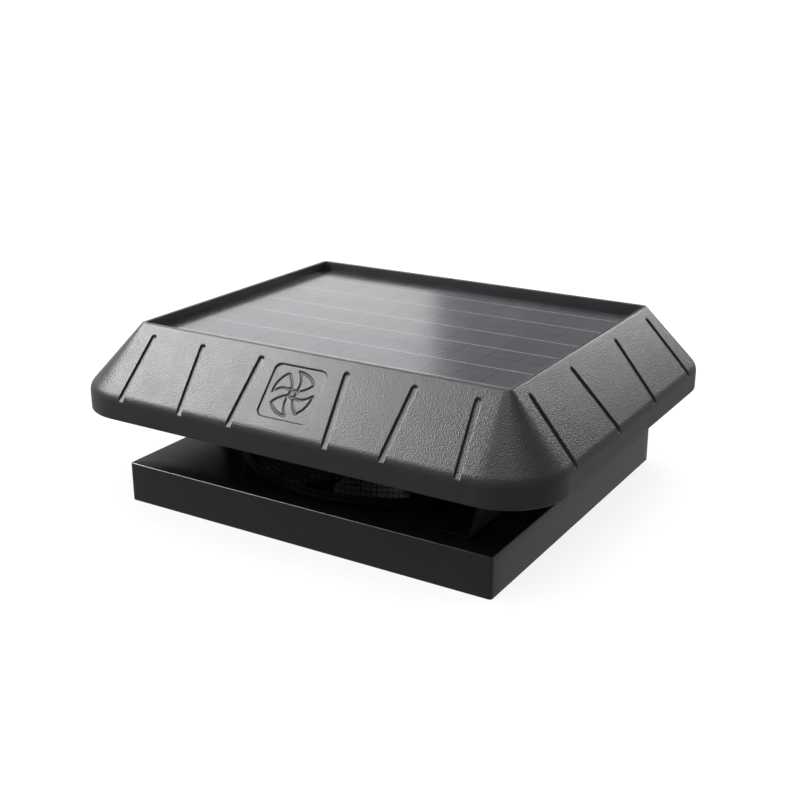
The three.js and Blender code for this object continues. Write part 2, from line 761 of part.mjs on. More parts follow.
function junctionBox() {
  const top = FLOOR_BOTTOM - GAP;
  const low = top - BOX_HEIGHT;
  const right = BOX_CENTRE_X + BOX_X / 2;
  const left = BOX_CENTRE_X - BOX_X / 2;
  const outside = solid(block([left, -BOX_Y / 2, low], [right, BOX_Y / 2, top]));
  const inside = solid(
    block(
      [left + BOX_WALL, -BOX_Y / 2 + BOX_WALL, low - OVERCUT],
      [right - BOX_WALL, BOX_Y / 2 - BOX_WALL, top - BOX_WALL],
    ),
  );
  const cableHole = post(CABLE_HOLE, -HOLE_REACH, HOLE_REACH).rotateY(QUARTER);
  cableHole.translate(right, 0, CABLE_HEIGHT);
  return geometryOf(cut(outside, inside, wireOpening(BOX_OPENING, top), solid(cableHole)));
}

function junctionBoxLid() {
  const top = FLOOR_BOTTOM - GAP - BOX_HEIGHT - GAP;
  const lid = roundedPlate(BOX_X, BOX_Y, LID_CORNER, top - LID_THICKNESS, top, 3);
  return lid.translate(BOX_CENTRE_X, 0, 0);
}

// A cable gland that stands on z = 0, with its bore along Z.
function cableGland() {
  const profile = [
    [GLAND_BORE, 0],
    [GLAND_RADIUS, 0],
    [GLAND_RADIUS, GLAND_LENGTH * 0.5],
    [GLAND_NOSE, GLAND_LENGTH],
    [GLAND_BORE, GLAND_LENGTH],
    [GLAND_BORE, 0],
  ];
  return turned(profile, 12);
}

// The lead from the junction box to the motor, held at both ends by a gland.
function motorCable() {
  const route = new THREE.CatmullRomCurve3([
    new THREE.Vector3(-46, 0, CABLE_HEIGHT),
    new THREE.Vector3(-30, 0, CABLE_HEIGHT),
    new THREE.Vector3(-12, 0, CABLE_HEIGHT),
    new THREE.Vector3(12, 0, CABLE_HEIGHT - 4),
    new THREE.Vector3(28, 0, CABLE_HEIGHT - 18),
    new THREE.Vector3(CABLE_DROP_X, 0, CABLE_HEIGHT - 36),
    new THREE.Vector3(CABLE_DROP_X, 0, MOTOR_TOP + 12),
    new THREE.Vector3(CABLE_DROP_X, 0, CABLE_END),
  ]);
  const section = new THREE.Shape();
  section.absarc(0, 0, CABLE_RADIUS, 0, TURN);
  const options = { steps: 20, bevelEnabled: false, curveSegments: 4, extrudePath: route };
  return new THREE.ExtrudeGeometry(section, options);
}

// ---------------------------------------------------------------- motor

// Where one of the four motor bolts stands.
function motorBoltPoint(index) {
  const angle = index * QUARTER;
  return [MOTOR_BOLT_RADIUS * Math.cos(angle), MOTOR_BOLT_RADIUS * Math.sin(angle)];
}

// Four arms out to feet on the throat flange, with a round plate in the middle.
function motorBridge() {
  const top = BRIDGE_BOTTOM + BRIDGE_SHEET;
  const footBottom = FLANGE_TOP + GAP;
  const profile = new THREE.Shape();
  profile.moveTo(BRIDGE_PLATE_RADIUS - BRIDGE_OVERLAP, BRIDGE_BOTTOM);
  profile.lineTo(BRIDGE_LEG_RADIUS, BRIDGE_BOTTOM);
  profile.lineTo(BRIDGE_LEG_RADIUS, footBottom);
  profile.lineTo(BRIDGE_FOOT_RADIUS, footBottom);
  profile.lineTo(BRIDGE_FOOT_RADIUS, footBottom + BRIDGE_SHEET);
  profile.lineTo(BRIDGE_LEG_RADIUS + BRIDGE_SHEET, footBottom + BRIDGE_SHEET);
  profile.lineTo(BRIDGE_LEG_RADIUS + BRIDGE_SHEET, top);
  profile.lineTo(BRIDGE_PLATE_RADIUS - BRIDGE_OVERLAP, top);
  const options = { depth: BRIDGE_ARM_WIDTH, bevelEnabled: false };
  const arms = [];
  const holes = [solid(post(BRIDGE_BORE, BRIDGE_BOTTOM - OVERCUT, top + OVERCUT))];
  for (let i = 0; i < 4; i++) {
    const arm = new THREE.ExtrudeGeometry(profile, options);
    arm.rotateX(QUARTER).translate(0, BRIDGE_ARM_WIDTH / 2, 0);
    arms.push(solid(arm.rotateZ((i + 0.5) * QUARTER)));
  }
  forCorners((signX, signY) => {
    holes.push(roundHole(BRIDGE_SCREW_HOLE, footBottom, ...bridgeScrewPoint(signX, signY)));
  });
  for (let i = 0; i < 4; i++) {
    holes.push(roundHole(MOTOR_SCREW_HOLE, top, ...motorBoltPoint(i)));
  }
  const plate = solid(post(BRIDGE_PLATE_RADIUS, BRIDGE_BOTTOM, top, 0, 0, 48));
  return geometryOf(cut(joined(plate, ...arms), ...holes));
}

function rubberMount() {
  return ring(MOUNT_BORE, MOUNT_RADIUS, 0, MOUNT_HEIGHT, 16);
}

// The can stands on a drilled flange and holds the lower bearing in a boss.
function motorCan() {
  const flangeTop = MOTOR_BOTTOM + MOTOR_FLANGE;
  const bossTop = flangeTop + GAP + BEARING_HEIGHT;
  const profile = [
    [SHAFT_HOLE, MOTOR_BOTTOM],
    [MOTOR_FLANGE_RADIUS, MOTOR_BOTTOM],
    [MOTOR_FLANGE_RADIUS, flangeTop],
    [MOTOR_RADIUS, flangeTop],
    [MOTOR_RADIUS, MOTOR_TOP],
    [MOTOR_RADIUS - MOTOR_WALL, MOTOR_TOP],
    [MOTOR_RADIUS - MOTOR_WALL, flangeTop],
    [BEARING_BOSS, flangeTop],
    [BEARING_BOSS, bossTop],
    [BEARING_RADIUS + GAP, bossTop],
    [BEARING_RADIUS + GAP, flangeTop],
    [SHAFT_HOLE, flangeTop],
    [SHAFT_HOLE, MOTOR_BOTTOM],
  ];
  const holes = [];
  for (let i = 0; i < 4; i++) {
    holes.push(roundHole(MOTOR_SCREW_HOLE, flangeTop, ...motorBoltPoint(i)));
  }
  return geometryOf(cut(solid(turned(profile, MOTOR_ROUND)), ...holes));
}

// The cover closes the can and holds the upper bearing in a boss under it.
function motorCover() {
  const low = MOTOR_TOP + GAP;
  const top = low + COVER_THICKNESS;
  const bossLow = low - BEARING_HEIGHT - GAP;
  const profile = [
    [0, low],
    [BEARING_RADIUS + GAP, low],
    [BEARING_RADIUS + GAP, bossLow],
    [BEARING_BOSS, bossLow],
    [BEARING_BOSS, low],
    [MOTOR_RADIUS, low],
    [MOTOR_RADIUS, top - COVER_CHAMFER],
    [MOTOR_RADIUS - COVER_CHAMFER, top],
    [0, top],
  ];
  const cableHole = roundHole(CABLE_HOLE, top, CABLE_DROP_X, 0);
  return geometryOf(cut(solid(turned(profile, MOTOR_ROUND)), cableHole));
}

function bearing() {
  return ring(BEARING_BORE, BEARING_RADIUS, 0, BEARING_HEIGHT, 20);
}

// A ring of laminations with teeth that point in at the magnet.
function statorCore() {
  const outer = MOTOR_RADIUS - MOTOR_WALL - GAP;
  const yoke = solid(ring(outer - STATOR_YOKE, outer, STATOR_BOTTOM, STATOR_TOP, 24));
  const teeth = [];
  for (let i = 0; i < STATOR_TEETH; i++) {
    const tooth = block(
      [MAGNET_RADIUS + STATOR_AIR_GAP, -STATOR_TOOTH / 2, STATOR_BOTTOM],
      [outer - STATOR_YOKE / 2, STATOR_TOOTH / 2, STATOR_TOP],
    );
    teeth.push(solid(tooth.rotateZ((TURN * i) / STATOR_TEETH)));
  }
  return geometryOf(joined(yoke, ...teeth));
}

// The windings as one cage: end turns above and below the core, joined through its slots.
function statorWinding() {
  const high = STATOR_TOP + WINDING_RISE;
  const low = STATOR_BOTTOM - WINDING_RISE;
  const upper = solid(ring(WINDING_INNER, WINDING_OUTER, STATOR_TOP + GAP, high, 24));
  const lower = solid(ring(WINDING_INNER, WINDING_OUTER, low, STATOR_BOTTOM - GAP, 24));
  const bars = [];
  for (let i = 0; i < STATOR_TEETH; i++) {
    const bar = block(
      [WINDING_INNER + OVERCUT, -WINDING_BAR / 2, low + OVERCUT],
      [WINDING_BAR_OUTER, WINDING_BAR / 2, high - OVERCUT],
    );
    bars.push(solid(bar.rotateZ((TURN * (i + 0.5)) / STATOR_TEETH)));
  }
  return geometryOf(joined(upper, lower, ...bars));
}

function driverBoard() {
  return ring(BOARD_INNER, BOARD_OUTER, BOARD_BOTTOM, BOARD_BOTTOM + BOARD_THICKNESS, 24);
}

function rotorMagnet() {
  const bore = SHAFT_RADIUS + GAP;
  const low = STATOR_BOTTOM - MAGNET_OVERHANG;
  const high = STATOR_TOP + MAGNET_OVERHANG;
  return ring(bore, MAGNET_RADIUS, low, high, 24);
}

function motorShaft() {
  const profile = [
    [0, SHAFT_BOTTOM],
    [SHAFT_RADIUS - SHAFT_CHAMFER, SHAFT_BOTTOM],
    [SHAFT_RADIUS, SHAFT_BOTTOM + SHAFT_CHAMFER],
    [SHAFT_RADIUS, SHAFT_TOP - SHAFT_CHAMFER],
    [SHAFT_RADIUS - SHAFT_CHAMFER, SHAFT_TOP],
    [0, SHAFT_TOP],
  ];
  return turned(profile, 16);
}

// ---------------------------------------------------------------- fan

// One pressed blade, its middle line along +X. It meets the air with its low edge, towards +Y,
// and is hollow on top, so that it lifts the air when the fan turns anticlockwise from above.
function fanBlade() {
  const radial = 6;
  const across = 6;
  const sheetPoint = (alongSpan, alongChord, offset) => {
    const radius = THREE.MathUtils.lerp(BLADE_ROOT_RADIUS, BLADE_TIP_RADIUS, alongSpan);
    const widening = alongSpan ** BLADE_WIDENING;
    const chord = THREE.MathUtils.lerp(BLADE_ROOT_CHORD, BLADE_TIP_CHORD, widening);
    const pitch = THREE.MathUtils.lerp(BLADE_ROOT_PITCH, BLADE_TIP_PITCH, alongSpan);
    const hollow = BLADE_CAMBER * chord * (1 - alongChord ** 2);
    const run = (alongChord * chord) / 2;
    const lift = offset - hollow;
    const forward = run * Math.cos(pitch) + lift * Math.sin(pitch);
    const height = BLADE_Z - run * Math.sin(pitch) + lift * Math.cos(pitch);
    const angle = forward / radius;
    return [radius * Math.cos(angle), radius * Math.sin(angle), height];
  };
  const positions = [];
  for (const offset of [-BLADE_SHEET / 2, BLADE_SHEET / 2]) {
    for (let i = 0; i <= radial; i++) {
      for (let j = 0; j <= across; j++) {
        positions.push(...sheetPoint(i / radial, (2 * j) / across - 1, offset));
      }
    }
  }
  const layer = (radial + 1) * (across + 1);
  const lower = (i, j) => i * (across + 1) + j;
  const upper = (i, j) => layer + lower(i, j);
  const faces = [];
  const quad = (a, b, c, d) => faces.push(a, b, c, a, c, d);
  for (let i = 0; i < radial; i++) {
    for (let j = 0; j < across; j++) {
      quad(upper(i, j), upper(i + 1, j), upper(i + 1, j + 1), upper(i, j + 1));
      quad(lower(i, j), lower(i, j + 1), lower(i + 1, j + 1), lower(i + 1, j));
    }
    quad(lower(i, 0), lower(i + 1, 0), upper(i + 1, 0), upper(i, 0));
    quad(upper(i, across), upper(i + 1, across), lower(i + 1, across), lower(i, across));
  }
  for (let j = 0; j < across; j++) {
    quad(upper(0, j), upper(0, j + 1), lower(0, j + 1), lower(0, j));
    quad(lower(radial, j), lower(radial, j + 1), upper(radial, j + 1), upper(radial, j));
  }
  const geometry = new THREE.BufferGeometry();
  geometry.setAttribute("position", new THREE.Float32BufferAttribute(positions, 3));
  geometry.setIndex(faces);
  return geometry;
}

// The hub: a bored boss with one flat arm under each blade, at the blade's pitch.
function fanHub() {
  const boss = solid(post(HUB_RADIUS, HUB_BOTTOM, HUB_TOP, 0, 0, 30));
  const arms = [];
  for (let i = 0; i < BLADES; i++) {
    const arm = block(
      [ARM_ROOT, -ARM_WIDTH / 2, -ARM_DROP - ARM_SHEET],
      [ARM_REACH, ARM_WIDTH / 2, -ARM_DROP],
    );
    arm.rotateX(-ARM_PITCH).translate(0, 0, BLADE_Z);
    arms.push(solid(arm.rotateZ((TURN * i) / BLADES)));
  }
  const boreRadius = SHAFT_RADIUS + GAP;
  const bore = solid(post(boreRadius, HUB_BOTTOM - OVERCUT, HUB_TOP + OVERCUT, 0, 0, 20));
  return geometryOf(cut(joined(boss, ...arms), bore));
}

function hubNut() {
  const top = HUB_BOTTOM - GAP;
  const low = top - NUT_HEIGHT;
  const nut = solid(post(NUT_RADIUS, low, top, 0, 0, 6));
  const bore = solid(post(SHAFT_RADIUS + GAP, low - OVERCUT, top + OVERCUT, 0, 0, 20));
  return geometryOf(cut(nut, bore));
}

// ---------------------------------------------------------------- assembly

function capAssembly() {
  const group = new THREE.Group();
  group.add(named("curb_cap", capSheet(), capPaint));
  group.add(named("curb_gasket", curbGasket(), foam));
  group.add(named("throat_ring", throatRing(), darkPaint));
  group.add(named("outlet_screen", outletScreen(), screenPaint));
  return group;
}

function bracketAssembly() {
  const group = new THREE.Group();
  const footScrew = hexScrew(...BRACKET_SCREW);
  const headScrew = panScrew(...HOOD_SCREW);
  const lowerSeat = CAP_HEIGHT + GAP + BRACKET_SHEET + GAP;
  const upperSeat = BRACKET_TOP - BRACKET_SHEET - GAP;
  forCorners((signX, signY, corner) => {
    const bracket = named("hood_bracket_" + corner, hoodBracket(), darkPaint);
    bracket.scale.set(signX, signY, 1);
    bracket.position.set(...bracketPoint(signX, signY, [0, 0]), 0);
    const lower = named("bracket_screw_" + corner, footScrew, zincSteel);
    lower.position.set(...bracketPoint(signX, signY, BRACKET_FOOT_HOLE), lowerSeat);
    const upper = named("hood_screw_" + corner, headScrew, zincSteel);
    upper.position.set(...bracketPoint(signX, signY, BRACKET_HEAD_HOLE), upperSeat);
    upper.rotation.x = Math.PI;
    group.add(bracket, lower, upper);
  });
  return group;
}

function hoodAssembly() {
  const group = new THREE.Group();
  group.add(named("hood_shell", hoodShell(), hoodPlastic));
  group.add(named("panel_bedding", panelBedding(), rubber));
  group.add(named("panel_backsheet", panelBacksheet(), backsheetBlack));
  group.add(named("panel_glass", panelGlass(), panelGlassFinish));
  const places = { front: -1, middle: 0, back: 1 };
  for (const [place, step] of Object.entries(places)) {
    const string = named("cell_string_" + place, cellString(), cellBlack);
    string.position.set(0, step * STRING_PITCH, CELL_BOTTOM);
    group.add(string);
  }
  const stringEnd = STRING_LENGTH / 2 + GAP;
  for (const [place, side] of [["front", -1], ["back", 1]]) {
    const bus = named("bus_ribbon_" + place, busRibbon(), ribbonSilver);
    bus.position.set(stringEnd, (side * STRING_PITCH) / 2, CELL_BOTTOM);
    group.add(bus);
  }
  return group;
}

function wiringAssembly() {
  const group = new THREE.Group();
  group.add(named("junction_box", junctionBox(), boxPlastic));
  group.add(named("junction_box_lid", junctionBoxLid(), boxPlastic));
  const boxGland = named("box_gland", cableGland(), rubber);
  boxGland.position.set(BOX_CENTRE_X + BOX_X / 2 + GAP, 0, CABLE_HEIGHT);
  boxGland.rotation.y = QUARTER;
  const motorGland = named("motor_gland", cableGland(), rubber);
  motorGland.position.set(CABLE_DROP_X, 0, MOTOR_TOP + GAP + COVER_THICKNESS + GAP);
  group.add(boxGland, motorGland);
  group.add(named("motor_cable", motorCable(), rubber));
  return group;
}

function motorAssembly() {
  const group = new THREE.Group();
  group.add(named("motor_bridge", motorBridge(), darkPaint));
  group.add(named("motor_can", motorCan(), motorPaint));
  group.add(named("motor_cover", motorCover(), motorPaint));
  group.add(named("stator_core", statorCore(), electricalSteel));
  group.add(named("stator_winding", statorWinding(), copper));
  group.add(named("driver_board", driverBoard(), boardGreen));
  const lowerBearing = named("lower_bearing", bearing(), zincSteel);
  lowerBearing.position.z = MOTOR_BOTTOM + MOTOR_FLANGE + GAP;
  const upperBearing = named("upper_bearing", bearing(), zincSteel);
  upperBearing.position.z = MOTOR_TOP - BEARING_HEIGHT;
  group.add(lowerBearing, upperBearing);

  const motorScrew = panScrew(...MOTOR_SCREW);
  for (let i = 0; i < 4; i++) {
    const mount = named("rubber_mount_" + (i + 1), rubberMount(), rubber);
    mount.position.set(...motorBoltPoint(i), BRIDGE_BOTTOM + BRIDGE_SHEET + GAP);
    const bolt = named("motor_screw_" + (i + 1), motorScrew, zincSteel);
    bolt.position.set(...motorBoltPoint(i), MOTOR_BOTTOM + MOTOR_FLANGE + GAP);
    group.add(mount, bolt);
  }
  const bridgeScrew = hexScrew(...BRIDGE_SCREW);
  const bridgeSeat = FLANGE_TOP + GAP + BRIDGE_SHEET + GAP;
  forCorners((signX, signY, corner) => {
    const screw = named("bridge_screw_" + corner, bridgeScrew, zincSteel);
    screw.position.set(...bridgeScrewPoint(signX, signY), bridgeSeat);
    group.add(screw);
  });
  return group;
}

function rotorAssembly() {
  const group = new THREE.Group();
  group.add(named("motor_shaft", motorShaft(), zincSteel));
  group.add(named("rotor_magnet", rotorMagnet(), magnetBlack));
  group.add(named("fan_hub", fanHub(), zincSteel));
  group.add(named("hub_nut", hubNut(), zincSteel));
  for (let i = 0; i < BLADES; i++) {
    const blade = named("fan_blade_" + (i + 1), fanBlade(), bladeAluminium);
    blade.rotation.z = (TURN * i) / BLADES;
    group.add(blade);
  }
  return group;
}

const fan = new THREE.Group();
fan.add(
  capAssembly(),
  bracketAssembly(),
  hoodAssembly(),
  wiringAssembly(),
  motorAssembly(),
  rotorAssembly(),
);

export default fan;
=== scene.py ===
# Solar attic fan: a curb cap, a round throat with a fan and its motor, and a moulded hood with a
# solar panel in its top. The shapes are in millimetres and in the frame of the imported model, and
# become metres when their mesh is made. +Z is up and -Y is the front with the badge.

from math import atan2, ceil, cos, pi, radians, sin, sqrt, tan

import bmesh
import bpy
import numpy as np
from mathutils import Matrix, Vector


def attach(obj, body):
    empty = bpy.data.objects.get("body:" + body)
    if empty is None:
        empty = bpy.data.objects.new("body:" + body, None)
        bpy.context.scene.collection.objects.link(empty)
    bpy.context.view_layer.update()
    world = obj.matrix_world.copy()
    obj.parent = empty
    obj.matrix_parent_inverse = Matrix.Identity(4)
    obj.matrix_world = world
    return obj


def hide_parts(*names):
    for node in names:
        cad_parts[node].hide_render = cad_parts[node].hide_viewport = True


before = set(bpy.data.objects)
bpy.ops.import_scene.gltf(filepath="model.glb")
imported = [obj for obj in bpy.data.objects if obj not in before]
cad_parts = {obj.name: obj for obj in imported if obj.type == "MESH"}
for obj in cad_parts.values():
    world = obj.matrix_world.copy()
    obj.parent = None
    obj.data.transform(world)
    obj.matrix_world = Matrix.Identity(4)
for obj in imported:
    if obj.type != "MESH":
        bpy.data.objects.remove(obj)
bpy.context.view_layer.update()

MM = 0.001
QUARTER = pi / 2
TURN = 2 * pi

# ------------------------------------------------------------------ driving dimensions, in mm

GAP = 0.3

CAP_X, CAP_Y, CAP_HEIGHT = 512, 470, 51
CAP_SHEET = 2
CAP_CORNER = 4
CAP_FOLD = 2.6  # outside radius of the folded top edge
GASKET_WIDTH = 14
GASKET_THICKNESS = 6

THROAT_RADIUS = 184.5
THROAT_SHEET = 2
THROAT_BOTTOM = 8
THROAT_LIP = 8.5
THROAT_FLANGE_RADIUS = 204
THROAT_CLEARANCE = 1  # between the ring's wall and the hole in the deck
FLANGE_BOTTOM = CAP_HEIGHT + GAP
FLANGE_TOP = FLANGE_BOTTOM + THROAT_SHEET

RIM_X, RIM_Y = 508, 402
HOOD_SPREAD = 68.5
HOOD_TOP = 226
HOOD_CREASE = 149.5
HOOD_BOTTOM = 121
HOOD_WALL = 3.5
RIM_CORNER = 8
SKIRT_CORNER = 74
CREASE_ROUND = 18
RIM_ROUND = 3
SLOPE_ANGLE = atan2(HOOD_SPREAD, HOOD_TOP - HOOD_CREASE)
SLOPE_LENGTH = (HOOD_TOP - HOOD_CREASE) / cos(SLOPE_ANGLE)
RECESS_X, RECESS_Y = 497.5, 391.5
RECESS_DRAFT = 1.5
RECESS_CORNER = 3
RECESS_WALL = 3.5
FLOOR_TOP = 207.2
FLOOR_BOTTOM = 204
GROOVE_WIDTH = 7.5
GROOVE_DEPTH = 2.6
GROOVE_TOP = (HOOD_TOP - 213) / cos(SLOPE_ANGLE)  # down the slope from the rim
GROOVE_RUNOUT = 12
GROOVE_FLANK = 0.55  # half the width that a groove's wall slopes over
FRONT_GROOVES = [(59, 66), (146, 139), (223, 230)]
SIDE_GROOVES = [(65, 57), (172.5, 178.5)]
BADGE_WIDTH, BADGE_LENGTH = 72, 66
BADGE_CORNER = 9
BADGE_DEPTH = 1.8
MARK_BLADES = 4
MARK_DEPTH = 1.3  # of its strokes, below the badge's floor
MARK_HUB = 4.5  # radius
MARK_INNER, MARK_OUTER = 7.5, 27  # radii that its blades lie between
MARK_STROKE = (0.7, 1.7)  # half widths of a stroke at its floor and at its edge
BOSS_RADIUS = 9
BOSS_LENGTH = 11.2

GLASS_X, GLASS_Y = 496, 390
GLASS_TOP = 215
GLASS_THICKNESS = 3.2
STRING_LENGTH = 464
STRING_PITCH = 126.5
CELL_WIDTH = 125
CELLS_IN_STRING = 12
CELL_GAP = 0.9
CELL_THICKNESS = 0.6
RIBBON_OFFSET = 28.6
RIBBON_WIDTH = 1.6
RIBBON_RISE = 0.2
BUS_WIDTH = 3
CELL_BOTTOM = GLASS_TOP - GLASS_THICKNESS - GAP - RIBBON_RISE - CELL_THICKNESS
BACKSHEET_TOP = CELL_BOTTOM - GAP
BACKSHEET_THICKNESS = 0.6
BEDDING_WIDTH = 14

RIGHT_BRACKETS = (217, 173.5)  # outer face of the web, middle line
LEFT_BRACKETS = (250, 38)
BRACKET_SHEET = 2.5
BRACKET_REACH = 42  # of the foot and the head, in from the web's outer face
BRACKET_FOOT_WIDTH = 71
BRACKET_HEAD_WIDTH = 34
BRACKET_FOOT_RISE = 8
BRACKET_NECK_RISE = 40
BRACKET_FOOT_HOLE = (16, -23.5)  # in from the web and along from the middle line
BRACKET_HEAD_HOLE = (21, 0)
BRACKET_TOP = FLOOR_BOTTOM - BOSS_LENGTH - GAP
BRACKET_BEND = 5
BRACKET_CORNER_CUT = 5

# Screws, as head radius, head height, shank radius and shank length.
FOOT_SCREW = (4.6, 4, 2.4, 8)
HEAD_SCREW = (4.6, 3.2, 2, 12)
MOTOR_SCREW = (4.5, 3, 2.2, 17)
BRIDGE_SCREW = (3.7, 3.4, 2.2, 9)

SCREEN_RADIUS = 200
SCREEN_SHEET = 1.5
SCREEN_HOOP = 7
MESH_PITCH = 6.3
MESH_WIRE = 0.7

BRIDGE_SHEET = 3
BRIDGE_BOTTOM = 72
BRIDGE_ARM_WIDTH = 24
BRIDGE_PLATE_RADIUS = 66
BRIDGE_LEG_RADIUS = 184.8
BRIDGE_FOOT_RADIUS = 199
BRIDGE_SCREW_RADIUS = 193.3
BRIDGE_HOLE_RADIUS = 20

MOTOR_BOLT_RADIUS = 55
MOUNT_HEIGHT = 6
MOTOR_BOTTOM = BRIDGE_BOTTOM + BRIDGE_SHEET + GAP + MOUNT_HEIGHT + GAP
MOTOR_FLANGE_RADIUS = 62
MOTOR_FLANGE = 3
MOTOR_RADIUS = 48
MOTOR_WALL = 2
MOTOR_TOP = 126
COVER_THICKNESS = 3
BEARING_RADIUS = 10
BEARING_BORE = 4.4
BEARING_HEIGHT = 7
BEARING_BOSS = 13
SHAFT_RADIUS = 4
SHAFT_BOTTOM = 11
STATOR_BOTTOM = 96
STATOR_TOP = 112
STATOR_TEETH = 12
WINDING_WIRE = 0.66  # radius
WINDING_LAYERS = 5
WINDING_PITCH = 1.35
MAGNET_RADIUS = 25.5
BOARD_BOTTOM = 119.2
BOARD_THICKNESS = 1.6
CHIP_RADIUS = 30  # of the circle that the board's parts lie on
RIB_RADIUS = 28  # of the middles of the cover's ribs

BLADES = 5
BLADE_ROOT_RADIUS = 52
BLADE_TIP_RADIUS = 178
BLADE_ROOT_CHORD = 52
BLADE_TIP_CHORD = 102
BLADE_ROOT_PITCH = radians(32)
BLADE_TIP_PITCH = radians(20)
BLADE_CAMBER = 0.04
BLADE_SHEET = 1.8
BLADE_Z = 33
HUB_RADIUS = 16
HUB_BOTTOM = 20
HUB_TOP = 50
HUB_ARM_PITCH = radians(30.5)
HUB_ARM_REACH = 82
HUB_ARM_WIDTH = 24
HUB_ARM_CORNER = 8
HUB_ARM_SHEET = 2.5
HUB_ARM_DROP = BLADE_CAMBER * (BLADE_ROOT_CHORD + 8) + BLADE_SHEET / 2 + 1

BOX_X, BOX_Y, BOX_HEIGHT = 110, 70, 24
BOX_WALL = 2
BOX_CENTRE_X = -90
BOX_CORNER = 4
LID_THICKNESS = 2.4
CABLE_RADIUS = 3
CABLE_HEIGHT = 190
CABLE_DROP_X = 34
GLAND_RADIUS = 6.5
GLAND_LENGTH = 10
CABLE_ROUTE = [
    (-46, 0, CABLE_HEIGHT),
    (-30, 0, CABLE_HEIGHT),
    (-12, 0, CABLE_HEIGHT),
    (12, 0, CABLE_HEIGHT - 4),
    (28, 0, CABLE_HEIGHT - 18),
    (CABLE_DROP_X, 0, CABLE_HEIGHT - 36),
    (CABLE_DROP_X, 0, MOTOR_TOP + 12),
    (CABLE_DROP_X, 0, MOTOR_TOP - 2.5),
]
CORNERS = {
    "front_right": (1, -1),
    "front_left": (-1, -1),
    "back_right": (1, 1),
    "back_left": (-1, 1),
}

# ------------------------------------------------------------------ camera and light

CAMERA_PLACE = (0.7708, -1.2708, 0.6307)  # metres
CAMERA_TILT = 90 - 19.30  # degrees up from straight down
CAMERA_TURN = 31.26  # degrees to the right of the front
CAMERA_LENS, CAMERA_FILM = 54.63, 36
SUN_SPREAD = 40  # degrees
SKY_STRENGTH = 0.42
PAPER_REACH = 60000
# height in mm of the near-black sheet of painted shade inside the curb
PAINTED_SHADE_HEIGHT = 0.4
# Collections that say which objects a light reaches.
LIT = bpy.data.collections.new("lit_by_softboxes")  # every piece of the fan
ABOVE_DECK = bpy.data.collections.new("above_deck")  # every new piece but the cap
PAPER = bpy.data.collections.new("paper")


def add_camera():
    data = bpy.data.cameras.new("camera")
    data.lens = CAMERA_LENS
    data.sensor_width = CAMERA_FILM
    camera = bpy.data.objects.new("camera", data)
    camera.location = CAMERA_PLACE
    camera.rotation_euler = (radians(CAMERA_TILT), 0, radians(CAMERA_TURN))
    bpy.context.scene.collection.objects.link(camera)
    bpy.context.scene.camera = camera


def softbox(name, place, facing, width, height, radiance):
    """A rectangular light for the fan only, at a place in metres and turned towards a point."""
    data = bpy.data.lights.new(name, "AREA")
    data.shape = "RECTANGLE"
    data.size = width
    data.size_y = height
    data.energy = 4 * radiance * width * height
    light = bpy.data.objects.new(name, data)
    light.location = place
    towards = Vector(facing) - light.location
    light.rotation_euler = towards.to_track_quat("-Z", "Y").to_euler()
    light.visible_camera = False
    bpy.context.scene.collection.objects.link(light)
    light.light_linking.receiver_collection = LIT
    return light


def soft_sun(name, energy, receivers):
    """A broad light from straight above that lights one collection only."""
    data = bpy.data.lights.new(name, "SUN")
    data.energy = energy
    data.angle = radians(SUN_SPREAD)
    sun = bpy.data.objects.new(name, data)
    bpy.context.scene.collection.objects.link(sun)
    sun.light_linking.receiver_collection = receivers
    return sun


def add_lights():
    """A key from the front left, a wall of light for the glass to mirror, and soft fills."""
    softbox("key", (-1.9, -0.9, 1.9), (0, 0, 0.2), 1.7, 1.3, 16.5)
    left_wall = softbox("left_wall", (-3.10, 2.51, 1.5), (-2.61, 1.64, 1.5), 3.0, 3.0, 1.3)
    left_wall.light_linking.receiver_collection = ABOVE_DECK
    softbox("back_strip", (0.68, 2.74, 1.35), (0, 0, 0.3), 0.9, 1.0, 9)
    soft_sun("overhead", 2.2, LIT)
    paper_light = soft_sun("paper_light", 2.7, PAPER)
    paper_light.light_linking.blocker_collection = PAPER
    world = bpy.data.worlds.new("studio")
    world.use_nodes = True
    background = world.node_tree.nodes["Background"]
    background.inputs["Color"].default_value = (0.97, 0.98, 1.0, 1)
    background.inputs["Strength"].default_value = SKY_STRENGTH
    bpy.context.scene.world = world
    bpy.context.scene.view_settings.view_transform = "Standard"


# ------------------------------------------------------------------ materials

NOISE_ROUGHNESS = 0.55
PEBBLE_SMOOTHNESS = 0.6

